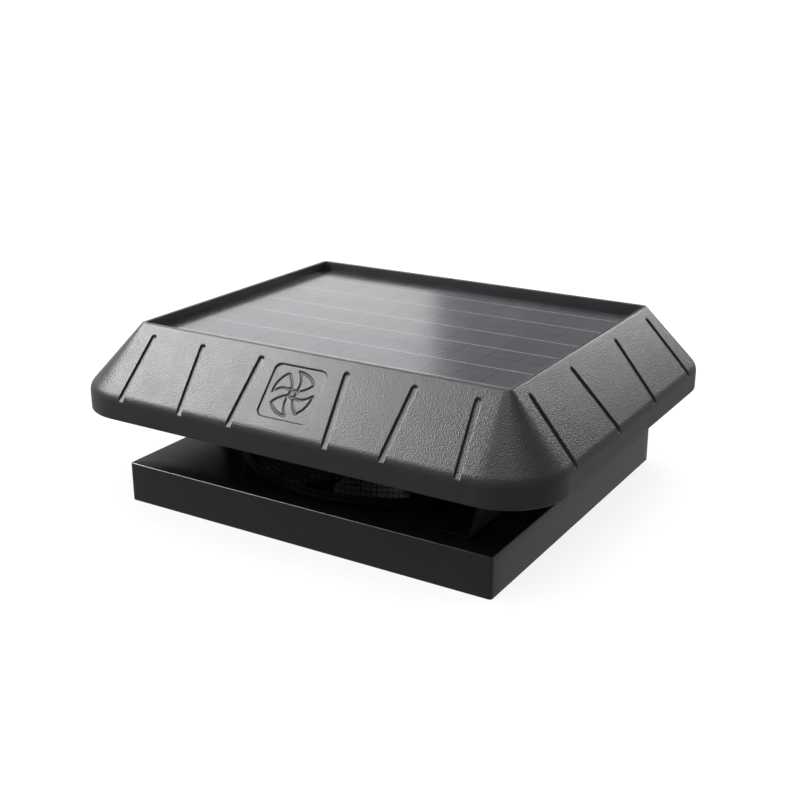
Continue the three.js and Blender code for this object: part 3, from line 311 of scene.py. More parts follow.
class Look:
    """A Principled material whose colour, roughness and grain come from node textures."""

    def __init__(self, name, metallic=0.0):
        self.material = bpy.data.materials.new(name)
        self.material.use_nodes = True
        self.tree = self.material.node_tree
        self.shader = self.tree.nodes["Principled BSDF"]
        self.shader.inputs["Metallic"].default_value = metallic
        self.places = self.tree.nodes.new("ShaderNodeTexCoord").outputs["Object"]
        self.bumped = None

    def node(self, kind, **settings):
        made = self.tree.nodes.new("ShaderNode" + kind)
        for key, value in settings.items():
            setattr(made, key, value)
        return made

    def link(self, source, target):
        self.tree.links.new(source, target)

    def stretched(self, x, y, z):
        """The object's coordinates, scaled by a factor on each axis."""
        mapping = self.node("Mapping")
        mapping.inputs["Scale"].default_value = (x, y, z)
        self.link(self.places, mapping.inputs["Vector"])
        return mapping.outputs["Vector"]

    def noise(self, size, detail=3, places=None):
        """Noise whose features are about size millimetres across."""
        made = self.node("TexNoise")
        made.inputs["Scale"].default_value = 1 / (size * MM)
        made.inputs["Detail"].default_value = detail
        made.inputs["Roughness"].default_value = NOISE_ROUGHNESS
        self.link(places or self.places, made.inputs["Vector"])
        return made.outputs["Fac"]

    def pebbles(self, size):
        """Height of small round pebbles, about size millimetres apart."""
        made = self.node("TexVoronoi", feature="SMOOTH_F1")
        made.inputs["Scale"].default_value = 1 / (size * MM)
        made.inputs["Smoothness"].default_value = PEBBLE_SMOOTHNESS
        self.link(self.places, made.inputs["Vector"])
        return made.outputs["Distance"]

    def ramp(self, value, *stops):
        """A colour for each stop (place, colour) along the value."""
        made = self.node("ValToRGB")
        elements = made.color_ramp.elements
        for i, (place, colour) in enumerate(stops):
            element = elements[i] if i < len(elements) else elements.new(place)
            element.position = place
            element.color = (*colour, 1)
        self.link(value, made.inputs["Fac"])
        return made.outputs["Color"]

    def ranged(self, value, low, high, start=0.3, end=0.7):
        """The value carried from start..end to low..high."""
        made = self.node("MapRange")
        made.inputs["From Min"].default_value = start
        made.inputs["From Max"].default_value = end
        made.inputs["To Min"].default_value = low
        made.inputs["To Max"].default_value = high
        self.link(value, made.inputs["Value"])
        return made.outputs["Result"]

    def colour(self, source):
        self.link(source, self.shader.inputs["Base Color"])

    def rough(self, source):
        self.link(source, self.shader.inputs["Roughness"])

    def specular(self, level):
        self.shader.inputs["Specular IOR Level"].default_value = level

    def bump(self, height, distance):
        """Adds a layer of relief, distance millimetres deep."""
        made = self.node("Bump")
        made.inputs["Strength"].default_value = 1
        made.inputs["Distance"].default_value = distance * MM
        self.link(height, made.inputs["Height"])
        if self.bumped:
            self.link(self.bumped, made.inputs["Normal"])
        self.bumped = made.outputs["Normal"]
        self.link(self.bumped, self.shader.inputs["Normal"])

    def mottled(self, dark, light, size, low, high):
        """Colour and roughness that drift with noise of one size."""
        drift = self.noise(size)
        self.colour(self.ramp(drift, (0.3, dark), (0.7, light)))
        self.rough(self.ranged(self.noise(size * 0.45), low, high))


def hood_plastic():
    look = Look("hood_plastic")
    look.mottled((0.012, 0.0122, 0.013), (0.016, 0.0162, 0.017), 60, 0.33, 0.38)
    look.specular(0.36)
    look.bump(look.noise(90, detail=1), 0.3)
    look.bump(look.pebbles(1.4), 0.24)
    return look


def cap_paint():
    look = Look("cap_paint")
    look.mottled((0.004, 0.004, 0.0045), (0.0055, 0.0055, 0.006), 40, 0.2, 0.27)
    look.specular(0.45)
    look.bump(look.noise(120, detail=1), 0.6)
    look.bump(look.noise(3.2, detail=2), 0.02)
    return look


def dark_paint():
    look = Look("dark_paint")
    look.mottled((0.003, 0.003, 0.0032), (0.005, 0.005, 0.0053), 25, 0.6, 0.7)
    look.specular(0.15)
    look.bump(look.noise(1.6, detail=2), 0.02)
    return look


def screen_paint():
    look = Look("screen_paint")
    look.mottled((0.003, 0.003, 0.003), (0.005, 0.005, 0.005), 12, 0.75, 0.85)
    look.specular(0.1)
    look.bump(look.noise(0.8), 0.02)
    return look


def motor_paint():
    look = Look("motor_paint")
    look.mottled((0.022, 0.023, 0.026), (0.03, 0.031, 0.034), 18, 0.35, 0.5)
    look.bump(look.pebbles(0.9), 0.02)
    return look


def foam():
    look = Look("foam")
    look.mottled((0.018, 0.018, 0.018), (0.035, 0.035, 0.035), 5, 0.9, 1.0)
    look.bump(look.pebbles(1.1), 0.25)
    return look


def sealant():
    look = Look("sealant")
    look.mottled((0.012, 0.012, 0.012), (0.02, 0.02, 0.02), 9, 0.45, 0.65)
    look.bump(look.noise(6), 0.2)
    return look


def backsheet():
    look = Look("backsheet")
    look.mottled((0.006, 0.006, 0.008), (0.009, 0.009, 0.011), 30, 0.5, 0.6)
    look.specular(0.1)
    look.bump(look.noise(0.7), 0.02)
    return look


def panel_glass():
    """Clear glass that lets light straight through and mirrors more at a low angle."""
    look = Look("panel_glass")
    look.tree.nodes.remove(look.shader)
    clear = look.node("BsdfTransparent")
    clear.inputs["Color"].default_value = (0.93, 0.94, 0.95, 1)
    mirror = look.node("BsdfGlossy")
    look.link(look.ranged(look.noise(45), 0.17, 0.2), mirror.inputs["Roughness"])
    wave = look.node("Bump")
    wave.inputs["Strength"].default_value = 0.5
    wave.inputs["Distance"].default_value = 0.01 * MM
    look.link(look.noise(60, detail=1), wave.inputs["Height"])
    look.link(wave.outputs["Normal"], mirror.inputs["Normal"])
    fresnel = look.node("Fresnel")
    fresnel.inputs["IOR"].default_value = 1.45
    mix = look.node("MixShader")
    side = look.node("NewGeometry")
    front_only = look.node("Mix", data_type="FLOAT")
    look.link(side.outputs["Backfacing"], front_only.inputs[0])
    look.link(fresnel.outputs["Fac"], front_only.inputs[2])
    front_only.inputs[3].default_value = 0
    look.link(front_only.outputs[0], mix.inputs[0])
    look.link(clear.outputs["BSDF"], mix.inputs[1])
    look.link(mirror.outputs["BSDF"], mix.inputs[2])
    look.link(mix.outputs["Shader"], look.tree.nodes["Material Output"].inputs["Surface"])
    return look


def solar_cell():
    """Silicon with fine printed fingers, each cell a little different in tone from the next."""
    look = Look("solar_cell")
    look.specular(0.1)
    counted = look.node("Mapping")
    along, across = CELLS_IN_STRING / (STRING_LENGTH * MM), 1 / (STRING_PITCH * MM)
    counted.inputs["Scale"].default_value = (along, across, 0)
    counted.inputs["Location"].default_value = (0, 0.5, 0)
    look.link(look.places, counted.inputs["Vector"])
    cell = look.node("VectorMath", operation="FLOOR")
    look.link(counted.outputs["Vector"], cell.inputs[0])
    shade = look.node("TexWhiteNoise", noise_dimensions="3D")
    look.link(cell.outputs["Vector"], shade.inputs["Vector"])
    tone = look.ramp(
        shade.outputs["Value"],
        (0.0, (0.013, 0.011, 0.019)),
        (0.45, (0.018, 0.016, 0.024)),
        (1.0, (0.024, 0.023, 0.027)),
    )
    fingers = look.node("TexWave", wave_type="BANDS", bands_direction="X")
    fingers.inputs["Scale"].default_value = 1 / (2 * pi * MM) * 0.6
    look.link(look.places, fingers.inputs["Vector"])
    print_lines = look.ranged(fingers.outputs["Fac"], 0, 0.25, 0.9, 1.0)
    mixed = look.node("Mix", data_type="RGBA")
    look.link(print_lines, mixed.inputs["Factor"])
    look.link(tone, mixed.inputs[6])
    mixed.inputs[7].default_value = (0.06, 0.056, 0.06, 1)
    look.colour(mixed.outputs[2])
    look.rough(look.ranged(look.noise(20), 0.4, 0.5))
    return look


def ribbon():
    look = Look("ribbon")
    look.mottled((0.15, 0.13, 0.11), (0.26, 0.22, 0.19), 14, 0.35, 0.5)
    look.bump(look.noise(3), 0.03)
    return look


def box_plastic():
    look = Look("box_plastic")
    look.mottled((0.014, 0.014, 0.015), (0.02, 0.02, 0.021), 15, 0.5, 0.62)
    look.bump(look.pebbles(0.8), 0.03)
    return look


def cable_jacket():
    look = Look("cable_jacket")
    look.mottled((0.012, 0.012, 0.012), (0.019, 0.019, 0.019), 8, 0.45, 0.6)
    look.bump(look.noise(0.9), 0.03)
    return look


def electrical_steel():
    look = Look("electrical_steel", metallic=0.8)
    look.mottled((0.22, 0.225, 0.235), (0.34, 0.345, 0.355), 6, 0.4, 0.55)
    layers = look.node("TexWave", wave_type="BANDS", bands_direction="Z")
    layers.inputs["Scale"].default_value = 1 / (0.5 * 20 * MM)
    look.link(look.places, layers.inputs["Vector"])
    look.bump(layers.outputs["Fac"], 0.1)
    return look


def copper():
    look = Look("copper", metallic=0.9)
    look.mottled((0.48, 0.19, 0.07), (0.64, 0.28, 0.11), 4, 0.25, 0.38)
    look.bump(look.noise(0.5, detail=2, places=look.stretched(1, 1, 4)), 0.12)
    return look


def board():
    look = Look("board")
    look.mottled((0.012, 0.085, 0.035), (0.02, 0.13, 0.055), 7, 0.35, 0.5)
    look.bump(look.noise(1.4), 0.05)
    return look


def bearing_steel():
    look = Look("bearing_steel", metallic=1.0)
    look.mottled((0.52, 0.52, 0.54), (0.64, 0.64, 0.66), 5, 0.14, 0.24)
    look.bump(look.noise(0.4, places=look.stretched(1, 1, 0.1)), 0.01)
    return look


def zinc_steel():
    look = Look("zinc_steel", metallic=0.95)
    look.mottled((0.42, 0.43, 0.44), (0.56, 0.56, 0.55), 4, 0.3, 0.45)
    look.bump(look.noise(0.7), 0.02)
    return look


def rubber():
    look = Look("rubber")
    look.mottled((0.012, 0.012, 0.012), (0.022, 0.022, 0.022), 4, 0.75, 0.9)
    look.bump(look.noise(0.6), 0.04)
    return look


def magnet():
    look = Look("magnet", metallic=0.2)
    look.mottled((0.03, 0.03, 0.034), (0.05, 0.05, 0.055), 3, 0.5, 0.65)
    look.bump(look.noise(0.5), 0.04)
    return look


def blade_aluminium():
    """Rolled sheet: fine streaks along X and a dull oxide that comes and goes."""
    look = Look("blade_aluminium", metallic=0.95)
    streaks = look.noise(1.2, detail=4, places=look.stretched(0.06, 1, 1))
    look.colour(look.ramp(streaks, (0.35, (0.6, 0.61, 0.63)), (0.65, (0.74, 0.75, 0.76))))
    look.rough(look.ranged(look.noise(30), 0.28, 0.42))
    look.bump(streaks, 0.02)
    return look


def floor_paper():
    look = Look("floor_paper")
    look.mottled((0.9, 0.9, 0.9), (0.915, 0.915, 0.915), 400, 0.85, 0.95)
    return look


# Near-black matte finish for the sheet inside the curb: painted shade, standing in for the shadow
# under the cap.
def painted_shade_black():
    look = Look("painted_shade_black")
    look.mottled((0.004, 0.004, 0.004), (0.006, 0.006, 0.006), 200, 0.9, 1.0)
    look.specular(0)
    return look


LOOKS = {
    make.__name__: make()
    for make in (
        hood_plastic,
        cap_paint,
        dark_paint,
        screen_paint,
        motor_paint,
        foam,
        sealant,
        backsheet,
        panel_glass,
        solar_cell,
        ribbon,
        box_plastic,
        cable_jacket,
        electrical_steel,
        copper,
        board,
        bearing_steel,
        zinc_steel,
        rubber,
        magnet,
        blade_aluminium,
        floor_paper,
        painted_shade_black,
    )
}

# ------------------------------------------------------------------ shape helpers


class Shape:
    """Points and faces that become one mesh."""

    def __init__(self):
        self.points = []
        self.faces = []

    def add(self, points, faces):
        base = len(self.points)
        self.points.extend(tuple(float(value) for value in point) for point in points)
        self.faces.extend([base + i for i in face] for face in faces)
        return self

    def join(self, other, matrix=None):
        points = [Vector(point) for point in other.points]
        if matrix is not None:
            points = [matrix @ point for point in points]
        return self.add(points, other.faces)


def moved(shape, x=0, y=0, z=0, turn=0):
    """A copy turned about Z and then shifted."""
    matrix = Matrix.Translation((x, y, z)) @ Matrix.Rotation(turn, 4, "Z")
    return Shape().join(shape, matrix)


def mirrored(shape, sign_x, sign_y):
    return Shape().join(shape, Matrix.Diagonal((sign_x, sign_y, 1, 1)))


WELD = 0.002  # points nearer than this become one
BEVEL_STEPS = 2
BEVEL_ANGLE = radians(40)


def piece(name, shape, look_name, body, node, sharp=35, bevel=0):
    """Makes the mesh, gives it its finish, ties it to its body and hides the CAD node it stands
    for.

    Edges turned more than sharp degrees stay crisp, and bevel is the width of worn edges."""
    mesh = bpy.data.meshes.new(name)
    mesh.from_pydata([tuple(v * MM for v in point) for point in shape.points], [], shape.faces)
    work = bmesh.new()
    work.from_mesh(mesh)
    bmesh.ops.remove_doubles(work, verts=work.verts, dist=WELD * MM)
    bmesh.ops.dissolve_degenerate(work, edges=work.edges, dist=WELD / 2 * MM)
    bmesh.ops.recalc_face_normals(work, faces=work.faces)
    work.to_mesh(mesh)
    work.free()
    mesh.polygons.foreach_set("use_smooth", [True] * len(mesh.polygons))
    mesh.set_sharp_from_angle(angle=radians(sharp))
    mesh.materials.append(LOOKS[look_name].material)
    made = bpy.data.objects.new(name, mesh)
    bpy.context.scene.collection.objects.link(made)
    LIT.objects.link(made)
    if look_name != "cap_paint":
        ABOVE_DECK.objects.link(made)
    if bevel:
        edge = made.modifiers.new("edges", "BEVEL")
        edge.width = bevel * MM
        edge.segments = BEVEL_STEPS
        edge.limit_method = "ANGLE"
        edge.angle_limit = BEVEL_ANGLE
    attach(made, body)
    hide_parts(node)


def fixed(node, shape, look_name, **edges):
    """The finer shape of a CAD node that stands still."""
    piece(node + "_fine", shape, look_name, "housing", node, **edges)


def turning(node, shape, look_name, **edges):
    """The finer shape of a CAD node that turns with the fan."""
    piece(node + "_fine", shape, look_name, "rotor", node, **edges)


def rounded(points, radius, steps=4, closed=True):
    """The flat outline with each corner turned into an arc. The radius is one for all or a list."""
    count = len(points)
    radii = radius if isinstance(radius, (list, tuple)) else [radius] * count
    result = []
    for i, point in enumerate(points):
        corner = Vector(point)
        if radii[i] == 0 or (not closed and i in (0, count - 1)):
            result.append(tuple(corner))
            continue
        before = Vector(points[i - 1]) - corner
        after = Vector(points[(i + 1) % count]) - corner
        half = before.angle(after) / 2
        reach = min(radii[i] / tan(half), before.length * 0.49, after.length * 0.49)
        start = before.normalized() * reach
        end = after.normalized() * reach
        centre = (before.normalized() + after.normalized()).normalized() * reach / cos(half)
        spread = pi - 2 * half
        for step in range(steps + 1):
            share = step / steps
            first = sin((1 - share) * spread) / sin(spread)
            second = sin(share * spread) / sin(spread)
            place = corner + centre + (start - centre) * first + (end - centre) * second
            result.append(tuple(place))
    return result


def skin(rings, close_path=False):
    """A skin over closed rings of equal point count, with flat ends unless the path closes."""
    count = len(rings[0])
    points = [point for ring in rings for point in ring]
    faces = []
    for level in range(len(rings) if close_path else len(rings) - 1):
        low = level * count
        high = ((level + 1) % len(rings)) * count
        for i in range(count):
            j = (i + 1) % count
            faces.append([low + i, low + j, high + j, high + i])
    if not close_path:
        faces.append(list(range(count))[::-1])
        faces.append([(len(rings) - 1) * count + i for i in range(count)])
    return Shape().add(points, faces)


def lathe(profile, sides=64):
    """A flat profile of (radius, height) turned about Z; it closes on itself or ends on Z."""
    rings = []
    for i in range(sides):
        rings.append([(*polar(r, TURN * i / sides), z) for r, z in profile])
    count = len(profile)
    points = [point for ring in rings for point in ring]
    faces = []
    for side in range(sides):
        here = side * count
        there = ((side + 1) % sides) * count
        for i in range(count):
            j = (i + 1) % count
            if profile[i][0] == 0 and profile[j][0] == 0:
                continue
            corners = [here + i, there + i, there + j, here + j]
            if profile[i][0] == 0:
                corners = [here + i, there + j, here + j]
            elif profile[j][0] == 0:
                corners = [here + i, there + i, here + j]
            faces.append(corners)
    return Shape().add(points, faces)


def prism(outline, low, high):
    """An upright prism on a flat outline."""
    return skin([at_height(outline, z) for z in (low, high)])


def polar(radius, angle):
    return radius * cos(angle), radius * sin(angle)


def circle(radius, sides, start=0.0):
    return [polar(radius, start + TURN * i / sides) for i in range(sides)]


def at_height(outline, z):
    return [(x, y, z) for x, y in outline]


def box_outline(width, depth, corner, steps=6, sides=1):
    """A rounded rectangle, anticlockwise, with extra points along its straight sides."""
    points = []
    for quarter in range(4):
        centre_x = (1 if quarter in (0, 3) else -1) * (width / 2 - corner)
        centre_y = (1 if quarter < 2 else -1) * (depth / 2 - corner)
        for step in range(steps + 1):
            angle = (quarter + step / steps) * QUARTER
            points.append((centre_x + corner * cos(angle), centre_y + corner * sin(angle)))
    result = []
    for i, point in enumerate(points):
        result.append(point)
        if (i + 1) % (steps + 1) == 0:
            following = points[(i + 1) % len(points)]
            for extra in range(1, sides):
                share = extra / sides
                result.append(
                    tuple(a + (b - a) * share for a, b in zip(point, following))
                )
    return result


def rounded_box(width, depth, low, high, corner, edge, steps=6, edge_steps=3):
    """A box with round upright corners and round edges at its top and bottom."""
    rings = []
    levels = []
    for step in range(edge_steps + 1):
        angle = QUARTER * step / edge_steps
        levels.append((edge * (1 - sin(angle)), low + edge * (1 - cos(angle))))
    levels += [(inset, low + high - z) for inset, z in reversed(levels)]
    for inset, z in levels:
        outline = box_outline(width - 2 * inset, depth - 2 * inset, max(corner - inset, 0.1), steps)
        rings.append(at_height(outline, z))
    return skin(rings)


def frame_ring(width, depth, band, low, high, corner, edge):
    """A flat picture-frame band of rounded section."""
    section = rounded([(0, low), (band, low), (band, high), (0, high)], edge, 2)
    rings = []
    for inset, z in section:
        outline = box_outline(width - 2 * inset, depth - 2 * inset, max(corner - inset, 0.3), 4, 6)
        rings.append(at_height(outline, z))
    return skin(rings, close_path=True)


def bent_strip(path, sides, thickness):
    """Sheet bent along a path of (x, z) points; sides gives its two y edges at each point."""
    rings = []
    for i, (x, z) in enumerate(path):
        before = Vector(path[max(i - 1, 0)])
        after = Vector(path[min(i + 1, len(path) - 1)])
        run = (after - before).normalized()
        normal = Vector((-run[1], run[0])) * thickness
        low, high = sides[i]
        rings.append(
            [
                (x, low, z),
                (x, high, z),
                (x + normal[0], high, z + normal[1]),
                (x + normal[0], low, z + normal[1]),
            ]
        )
    return skin(rings)


def tube(points, radius, sides):
    """A round tube along points, closed at both ends."""
    rings = []
    side = Vector((0, 1, 0))
    for i, point in enumerate(points):
        before = Vector(points[max(i - 1, 0)])
        after = Vector(points[min(i + 1, len(points) - 1)])
        run = (after - before).normalized()
        across = run.cross(side).normalized()
        other = run.cross(across).normalized()
        ring = []
        for step in range(sides):
            angle = TURN * step / sides
            ring.append(tuple(Vector(point) + (across * cos(angle) + other * sin(angle)) * radius))
        rings.append(ring)
    return skin(rings)


def wire_loop(points, radius, sides=6):
    """A closed round wire through points that lie in one loop."""
    count = len(points)
    centre = sum((Vector(point) for point in points), Vector()) / count
    rings = []
    for i, point in enumerate(points):
        run = (Vector(points[(i + 1) % count]) - Vector(points[i - 1])).normalized()
        outward = Vector(point) - centre
        outward = (outward - run * outward.dot(run)).normalized()
        other = run.cross(outward)
        ring = []
        for step in range(sides):
            angle = TURN * step / sides
            ring.append(tuple(Vector(point) + (outward * cos(angle) + other * sin(angle)) * radius))
        rings.append(ring)
    return skin(rings, close_path=True)


def smooth_step(value, low, high):
    share = np.clip((value - low) / (high - low), 0, 1)
    return share * share * (3 - 2 * share)


# ------------------------------------------------------------------ screws


THREAD_PITCH = 1.0
THREAD_ROOT = 0.84  # radius of the thread's root over that of its crest
PAN_RINGS = 9
PAN_SIDES = 32


def threaded_shank(radius, length):
    """Half profile of a shank with thread ridges, from its tip up to z = 0."""
    profile = [(0, -length), (radius * 0.55, -length + 0.4)]
    ridges = int((length - 1.5) / THREAD_PITCH)
    for ridge in range(ridges):
        z = -length + 1 + ridge * THREAD_PITCH
        profile.append((radius * THREAD_ROOT, z))
        profile.append((radius, z + THREAD_PITCH / 2))
    profile.append((radius * THREAD_ROOT, -0.4))
    return profile


def hex_screw(head_radius, head_height, shank_radius, shank_length):
    """A washer-faced hexagon screw whose head sits on z = 0."""
    washer = head_radius * 1.35
    profile = threaded_shank(shank_radius, shank_length)
    profile += [(shank_radius, 0), (washer, 0), (washer, head_height * 0.2)]
    profile += [(head_radius * 0.9, head_height * 0.34), (0, head_height * 0.34)]
    body = lathe(profile, 24)
    rings = []
    for scale, z in ((1, 0.2), (1, 0.86), (0.86, 1.0), (0.5, 0.99)):
        outline = circle(head_radius * scale, 6)
        rings.append(at_height(outline, z * head_height))
    return body.join(skin(rings))


def pan_screw(head_radius, head_height, shank_radius, shank_length):
    """A domed screw with a cross recess, whose head sits on z = 0."""
    profile = threaded_shank(shank_radius, shank_length)
    profile += [(shank_radius, 0), (head_radius, 0), (head_radius, head_height * 0.35)]
    profile.append((head_radius * 0.94, head_height * 0.5))
    body = lathe(profile + [(0, head_height * 0.5)], PAN_SIDES)
    rings = []
    for radial in range(PAN_RINGS):
        radius = head_radius * 0.94 * (1 - radial / (PAN_RINGS - 0.5))
        ring = []
        for step in range(PAN_SIDES):
            angle = TURN * step / PAN_SIDES
            x, y = polar(radius, angle)
            dome = head_height * (0.5 + 0.5 * (1 - (radius / (head_radius * 0.94)) ** 2))
            arm = min(abs(x), abs(y)) < head_radius * 0.14 and radius < head_radius * 0.6
            ring.append((x, y, dome - (head_height * 0.4 if arm else 0)))
        rings.append(ring)
    return body.join(skin(rings))


# ------------------------------------------------------------------ curb cap, gasket, throat


def curb_cap():
    """Folded sheet: wall, rolled fold, deck with the throat hole, and the same again inside."""
    fold = []
    for step in range(6):
        angle = QUARTER * step / 5
        fold.append((CAP_FOLD * (1 - cos(angle)), CAP_HEIGHT - CAP_FOLD * (1 - sin(angle))))
    outer = [(0.5, 0), (0, 0.5)] + [(0, z) for z in (12, 25, 38)] + fold
    inner = [(CAP_SHEET + 0.6, CAP_HEIGHT - CAP_SHEET), (CAP_SHEET, CAP_HEIGHT - CAP_SHEET - 0.6)]
    inner += [(CAP_SHEET, 0.5), (CAP_SHEET - 0.5, 0)]
    hole = THROAT_RADIUS + THROAT_SHEET + THROAT_CLEARANCE

    def outline(inset):
        corner = CAP_CORNER - inset if inset < CAP_CORNER - 0.5 else 0.5
        return box_outline(CAP_X - 2 * inset, CAP_Y - 2 * inset, corner, 6, 24)

    def deck_ring(share, z):
        ring = []
        for x, y in outline(CAP_FOLD):
            angle = atan2(y, x)
            ring.append(
                (x + (hole * cos(angle) - x) * share, y + (hole * sin(angle) - y) * share, z)
            )
        return ring

    rings = [at_height(outline(inset), z) for inset, z in outer]
    rings += [deck_ring(share, CAP_HEIGHT) for share in (0.25, 0.5, 0.75, 1.0)]
    rings += [deck_ring(share, CAP_HEIGHT - CAP_SHEET) for share in (1.0, 0.5)]
    rings += [at_height(outline(inset), z) for inset, z in inner]
    fixed("curb_cap", skin(rings, close_path=True), "cap_paint")


def curb_gasket():
    top = CAP_HEIGHT - CAP_SHEET - GAP
    width = CAP_X - 2 * (CAP_SHEET + GAP)
    depth = CAP_Y - 2 * (CAP_SHEET + GAP)
    strip = frame_ring(width, depth, GASKET_WIDTH, top - GASKET_THICKNESS, top, 1.5, 1.2)
    fixed("curb_gasket", strip, "foam")


def throat_ring():
    """A spun ring: a flange, a round bend down to the wall, and a rolled inlet lip."""
    centre = (THROAT_RADIUS + THROAT_LIP, THROAT_BOTTOM + THROAT_LIP)
    inner = []
    outer = []
    for step in range(9):
        angle = pi + QUARTER * step / 8
        inner.append((centre[0] + THROAT_LIP * cos(angle), centre[1] + THROAT_LIP * sin(angle)))
        rim = THROAT_LIP - THROAT_SHEET
        outer.insert(0, (centre[0] + rim * cos(angle), centre[1] + rim * sin(angle)))
    bend = 3
    flange = []
    for step in range(5):
        angle = QUARTER * step / 4
        flange.append(
            (THROAT_RADIUS + bend * (1 - sin(angle)), FLANGE_TOP - bend * (1 - cos(angle)))
        )
    under = [
        (THROAT_RADIUS + THROAT_SHEET, FLANGE_BOTTOM - 0.8),
        (THROAT_RADIUS + THROAT_SHEET + 0.8, FLANGE_BOTTOM),
        (THROAT_FLANGE_RADIUS - 0.5, FLANGE_BOTTOM),
        (THROAT_FLANGE_RADIUS, FLANGE_BOTTOM + 0.5),
        (THROAT_FLANGE_RADIUS, FLANGE_TOP - 0.5),
        (THROAT_FLANGE_RADIUS - 0.5, FLANGE_TOP),
    ]
    ring = lathe(flange + inner + outer + under, 160)
    fixed("throat_ring", ring, "dark_paint")


# ------------------------------------------------------------------ outlet screen


def outlet_screen():
    """Welded wire mesh between two folded bands."""
    bottom = FLANGE_TOP + GAP
    top = FLOOR_BOTTOM - GAP
    outer = SCREEN_RADIUS + SCREEN_SHEET
    shape = Shape()
    for low, high in ((bottom, bottom + SCREEN_HOOP), (top - SCREEN_HOOP, top)):
        corners = [(SCREEN_RADIUS, low), (outer, low), (outer, high), (SCREEN_RADIUS, high)]
        shape.join(lathe(rounded(corners, 0.5, 2), 120))
    middle = SCREEN_RADIUS + SCREEN_SHEET / 2
    levels = int((top - bottom - 2 * SCREEN_HOOP) / MESH_PITCH)
    for level in range(1, levels + 1):
        z = bottom + SCREEN_HOOP + level * (top - bottom - 2 * SCREEN_HOOP) / (levels + 1)
        section = [(middle - MESH_WIRE / 2 + r, z + h) for r, h in circle(MESH_WIRE / 2, 4)]
        shape.join(lathe(section, 120))
    uprights = int(TURN * middle / MESH_PITCH)
    for upright in range(uprights):
        angle = TURN * upright / uprights
        x, y = polar(middle + MESH_WIRE / 2, angle)
        wire = [(x + dx, y + dy) for dx, dy in circle(MESH_WIRE / 2, 4, angle)]
        shape.join(prism(wire, bottom + 2, top - 2))
    fixed("outlet_screen", shape, "screen_paint", sharp=60)


# ------------------------------------------------------------------ hood brackets


def bracket_point(sign_x, sign_y, inwards, along):
    """Where a point of a bracket lies at one corner, given in its own measures."""
    web, middle = RIGHT_BRACKETS if sign_x > 0 else LEFT_BRACKETS
    return sign_x * (web - inwards), sign_y * (middle + along)


def hood_bracket():
    """The bent channel for the +X +Y corner, its web on x = 0 and its middle line on y = 0."""
    bottom = CAP_HEIGHT + GAP
    end = -BRACKET_REACH
    cut = BRACKET_CORNER_CUT
    corners = [(end, bottom), (0, bottom), (0, BRACKET_TOP), (end, BRACKET_TOP)]
    bends = rounded(corners, [0, BRACKET_BEND, BRACKET_BEND, 0], 5, closed=False)
    path = [bends[0], (end + cut, bottom), (-14, bottom), *bends[1:7]]
    path += [(0, bottom + height) for height in (8, 24, 40, 60, 90, 120)]
    path += [*bends[7:-1], (end + cut, BRACKET_TOP), bends[-1]]
    sides = []
    for x, z in path:
        share = float(smooth_step(z, bottom + BRACKET_FOOT_RISE, bottom + BRACKET_NECK_RISE))
        width = BRACKET_FOOT_WIDTH + (BRACKET_HEAD_WIDTH - BRACKET_FOOT_WIDTH) * share
        from_end = min(x - end, cut)
        trim = cut - sqrt(max(cut**2 - (cut - from_end) ** 2, 0))
        sides.append((trim - width / 2, width / 2 - trim))
    return bent_strip(path, sides, BRACKET_SHEET)


def brackets():
    foot_screw = hex_screw(*FOOT_SCREW)
    head_screw = pan_screw(*HEAD_SCREW)
    head_screw = Shape().join(head_screw, Matrix.Rotation(pi, 4, "X"))
    foot_seat = CAP_HEIGHT + GAP + BRACKET_SHEET + GAP
    head_seat = BRACKET_TOP - BRACKET_SHEET - GAP
    shape = hood_bracket()
    for corner, (sign_x, sign_y) in CORNERS.items():
        name = "hood_bracket_" + corner
        x, y = bracket_point(sign_x, sign_y, 0, 0)
        bracket = moved(mirrored(shape, sign_x, sign_y), x, y)
        fixed(name, bracket, "dark_paint", bevel=0.4)
        name = "bracket_screw_" + corner
        x, y = bracket_point(sign_x, sign_y, *BRACKET_FOOT_HOLE)
        screw = moved(foot_screw, x, y, foot_seat, turn=0.4 * sign_x)
        fixed(name, screw, "zinc_steel")
        name = "hood_screw_" + corner
        x, y = bracket_point(sign_x, sign_y, *BRACKET_HEAD_HOLE)
        screw = moved(head_screw, x, y, head_seat)
        fixed(name, screw, "zinc_steel")


# ------------------------------------------------------------------ hood

COARSE = 7  # spacing of the hood's columns on plain stretches
FINE = 0.85  # spacing of its rows and columns over the badge
BADGE_MARGIN = 3
GROOVE_STATIONS = (-5.4, -4.6, -4.2, -3.75, -3.3, -2.8, -1.2, 1.2, 2.8, 3.3, 3.75, 4.2, 4.6, 5.4)
CORNER_COLUMNS = 18
SIDE_MIDDLE = 250  # half-length of a typical row, which the number of columns is chosen for


def column_marks(grooves, badge):
    """The lines that a side's columns follow: ("end", sign) or (top, low, offset)."""
    lines = sorted([(-top, -low) for top, low in grooves] + list(grooves))
    marks = [("end", -1)]
    for top, low in lines:
        if badge and top > 0 and all(mark[0] != "badge" for mark in marks):
            reach = BADGE_WIDTH / 2 + BADGE_MARGIN
            count = ceil(2 * reach / FINE)
            marks += [("badge", -reach + 2 * reach * i / count) for i in range(count + 1)]
        marks += [("groove", top, low, offset) for offset in GROOVE_STATIONS]
    return marks + [("end", 1)]


def mark_place(mark, straight, lean):
    if mark[0] == "end":
        return mark[1] * straight
    if mark[0] == "badge":
        return mark[1]
    _, top, low, offset = mark
    return top + (low - top) * lean + offset


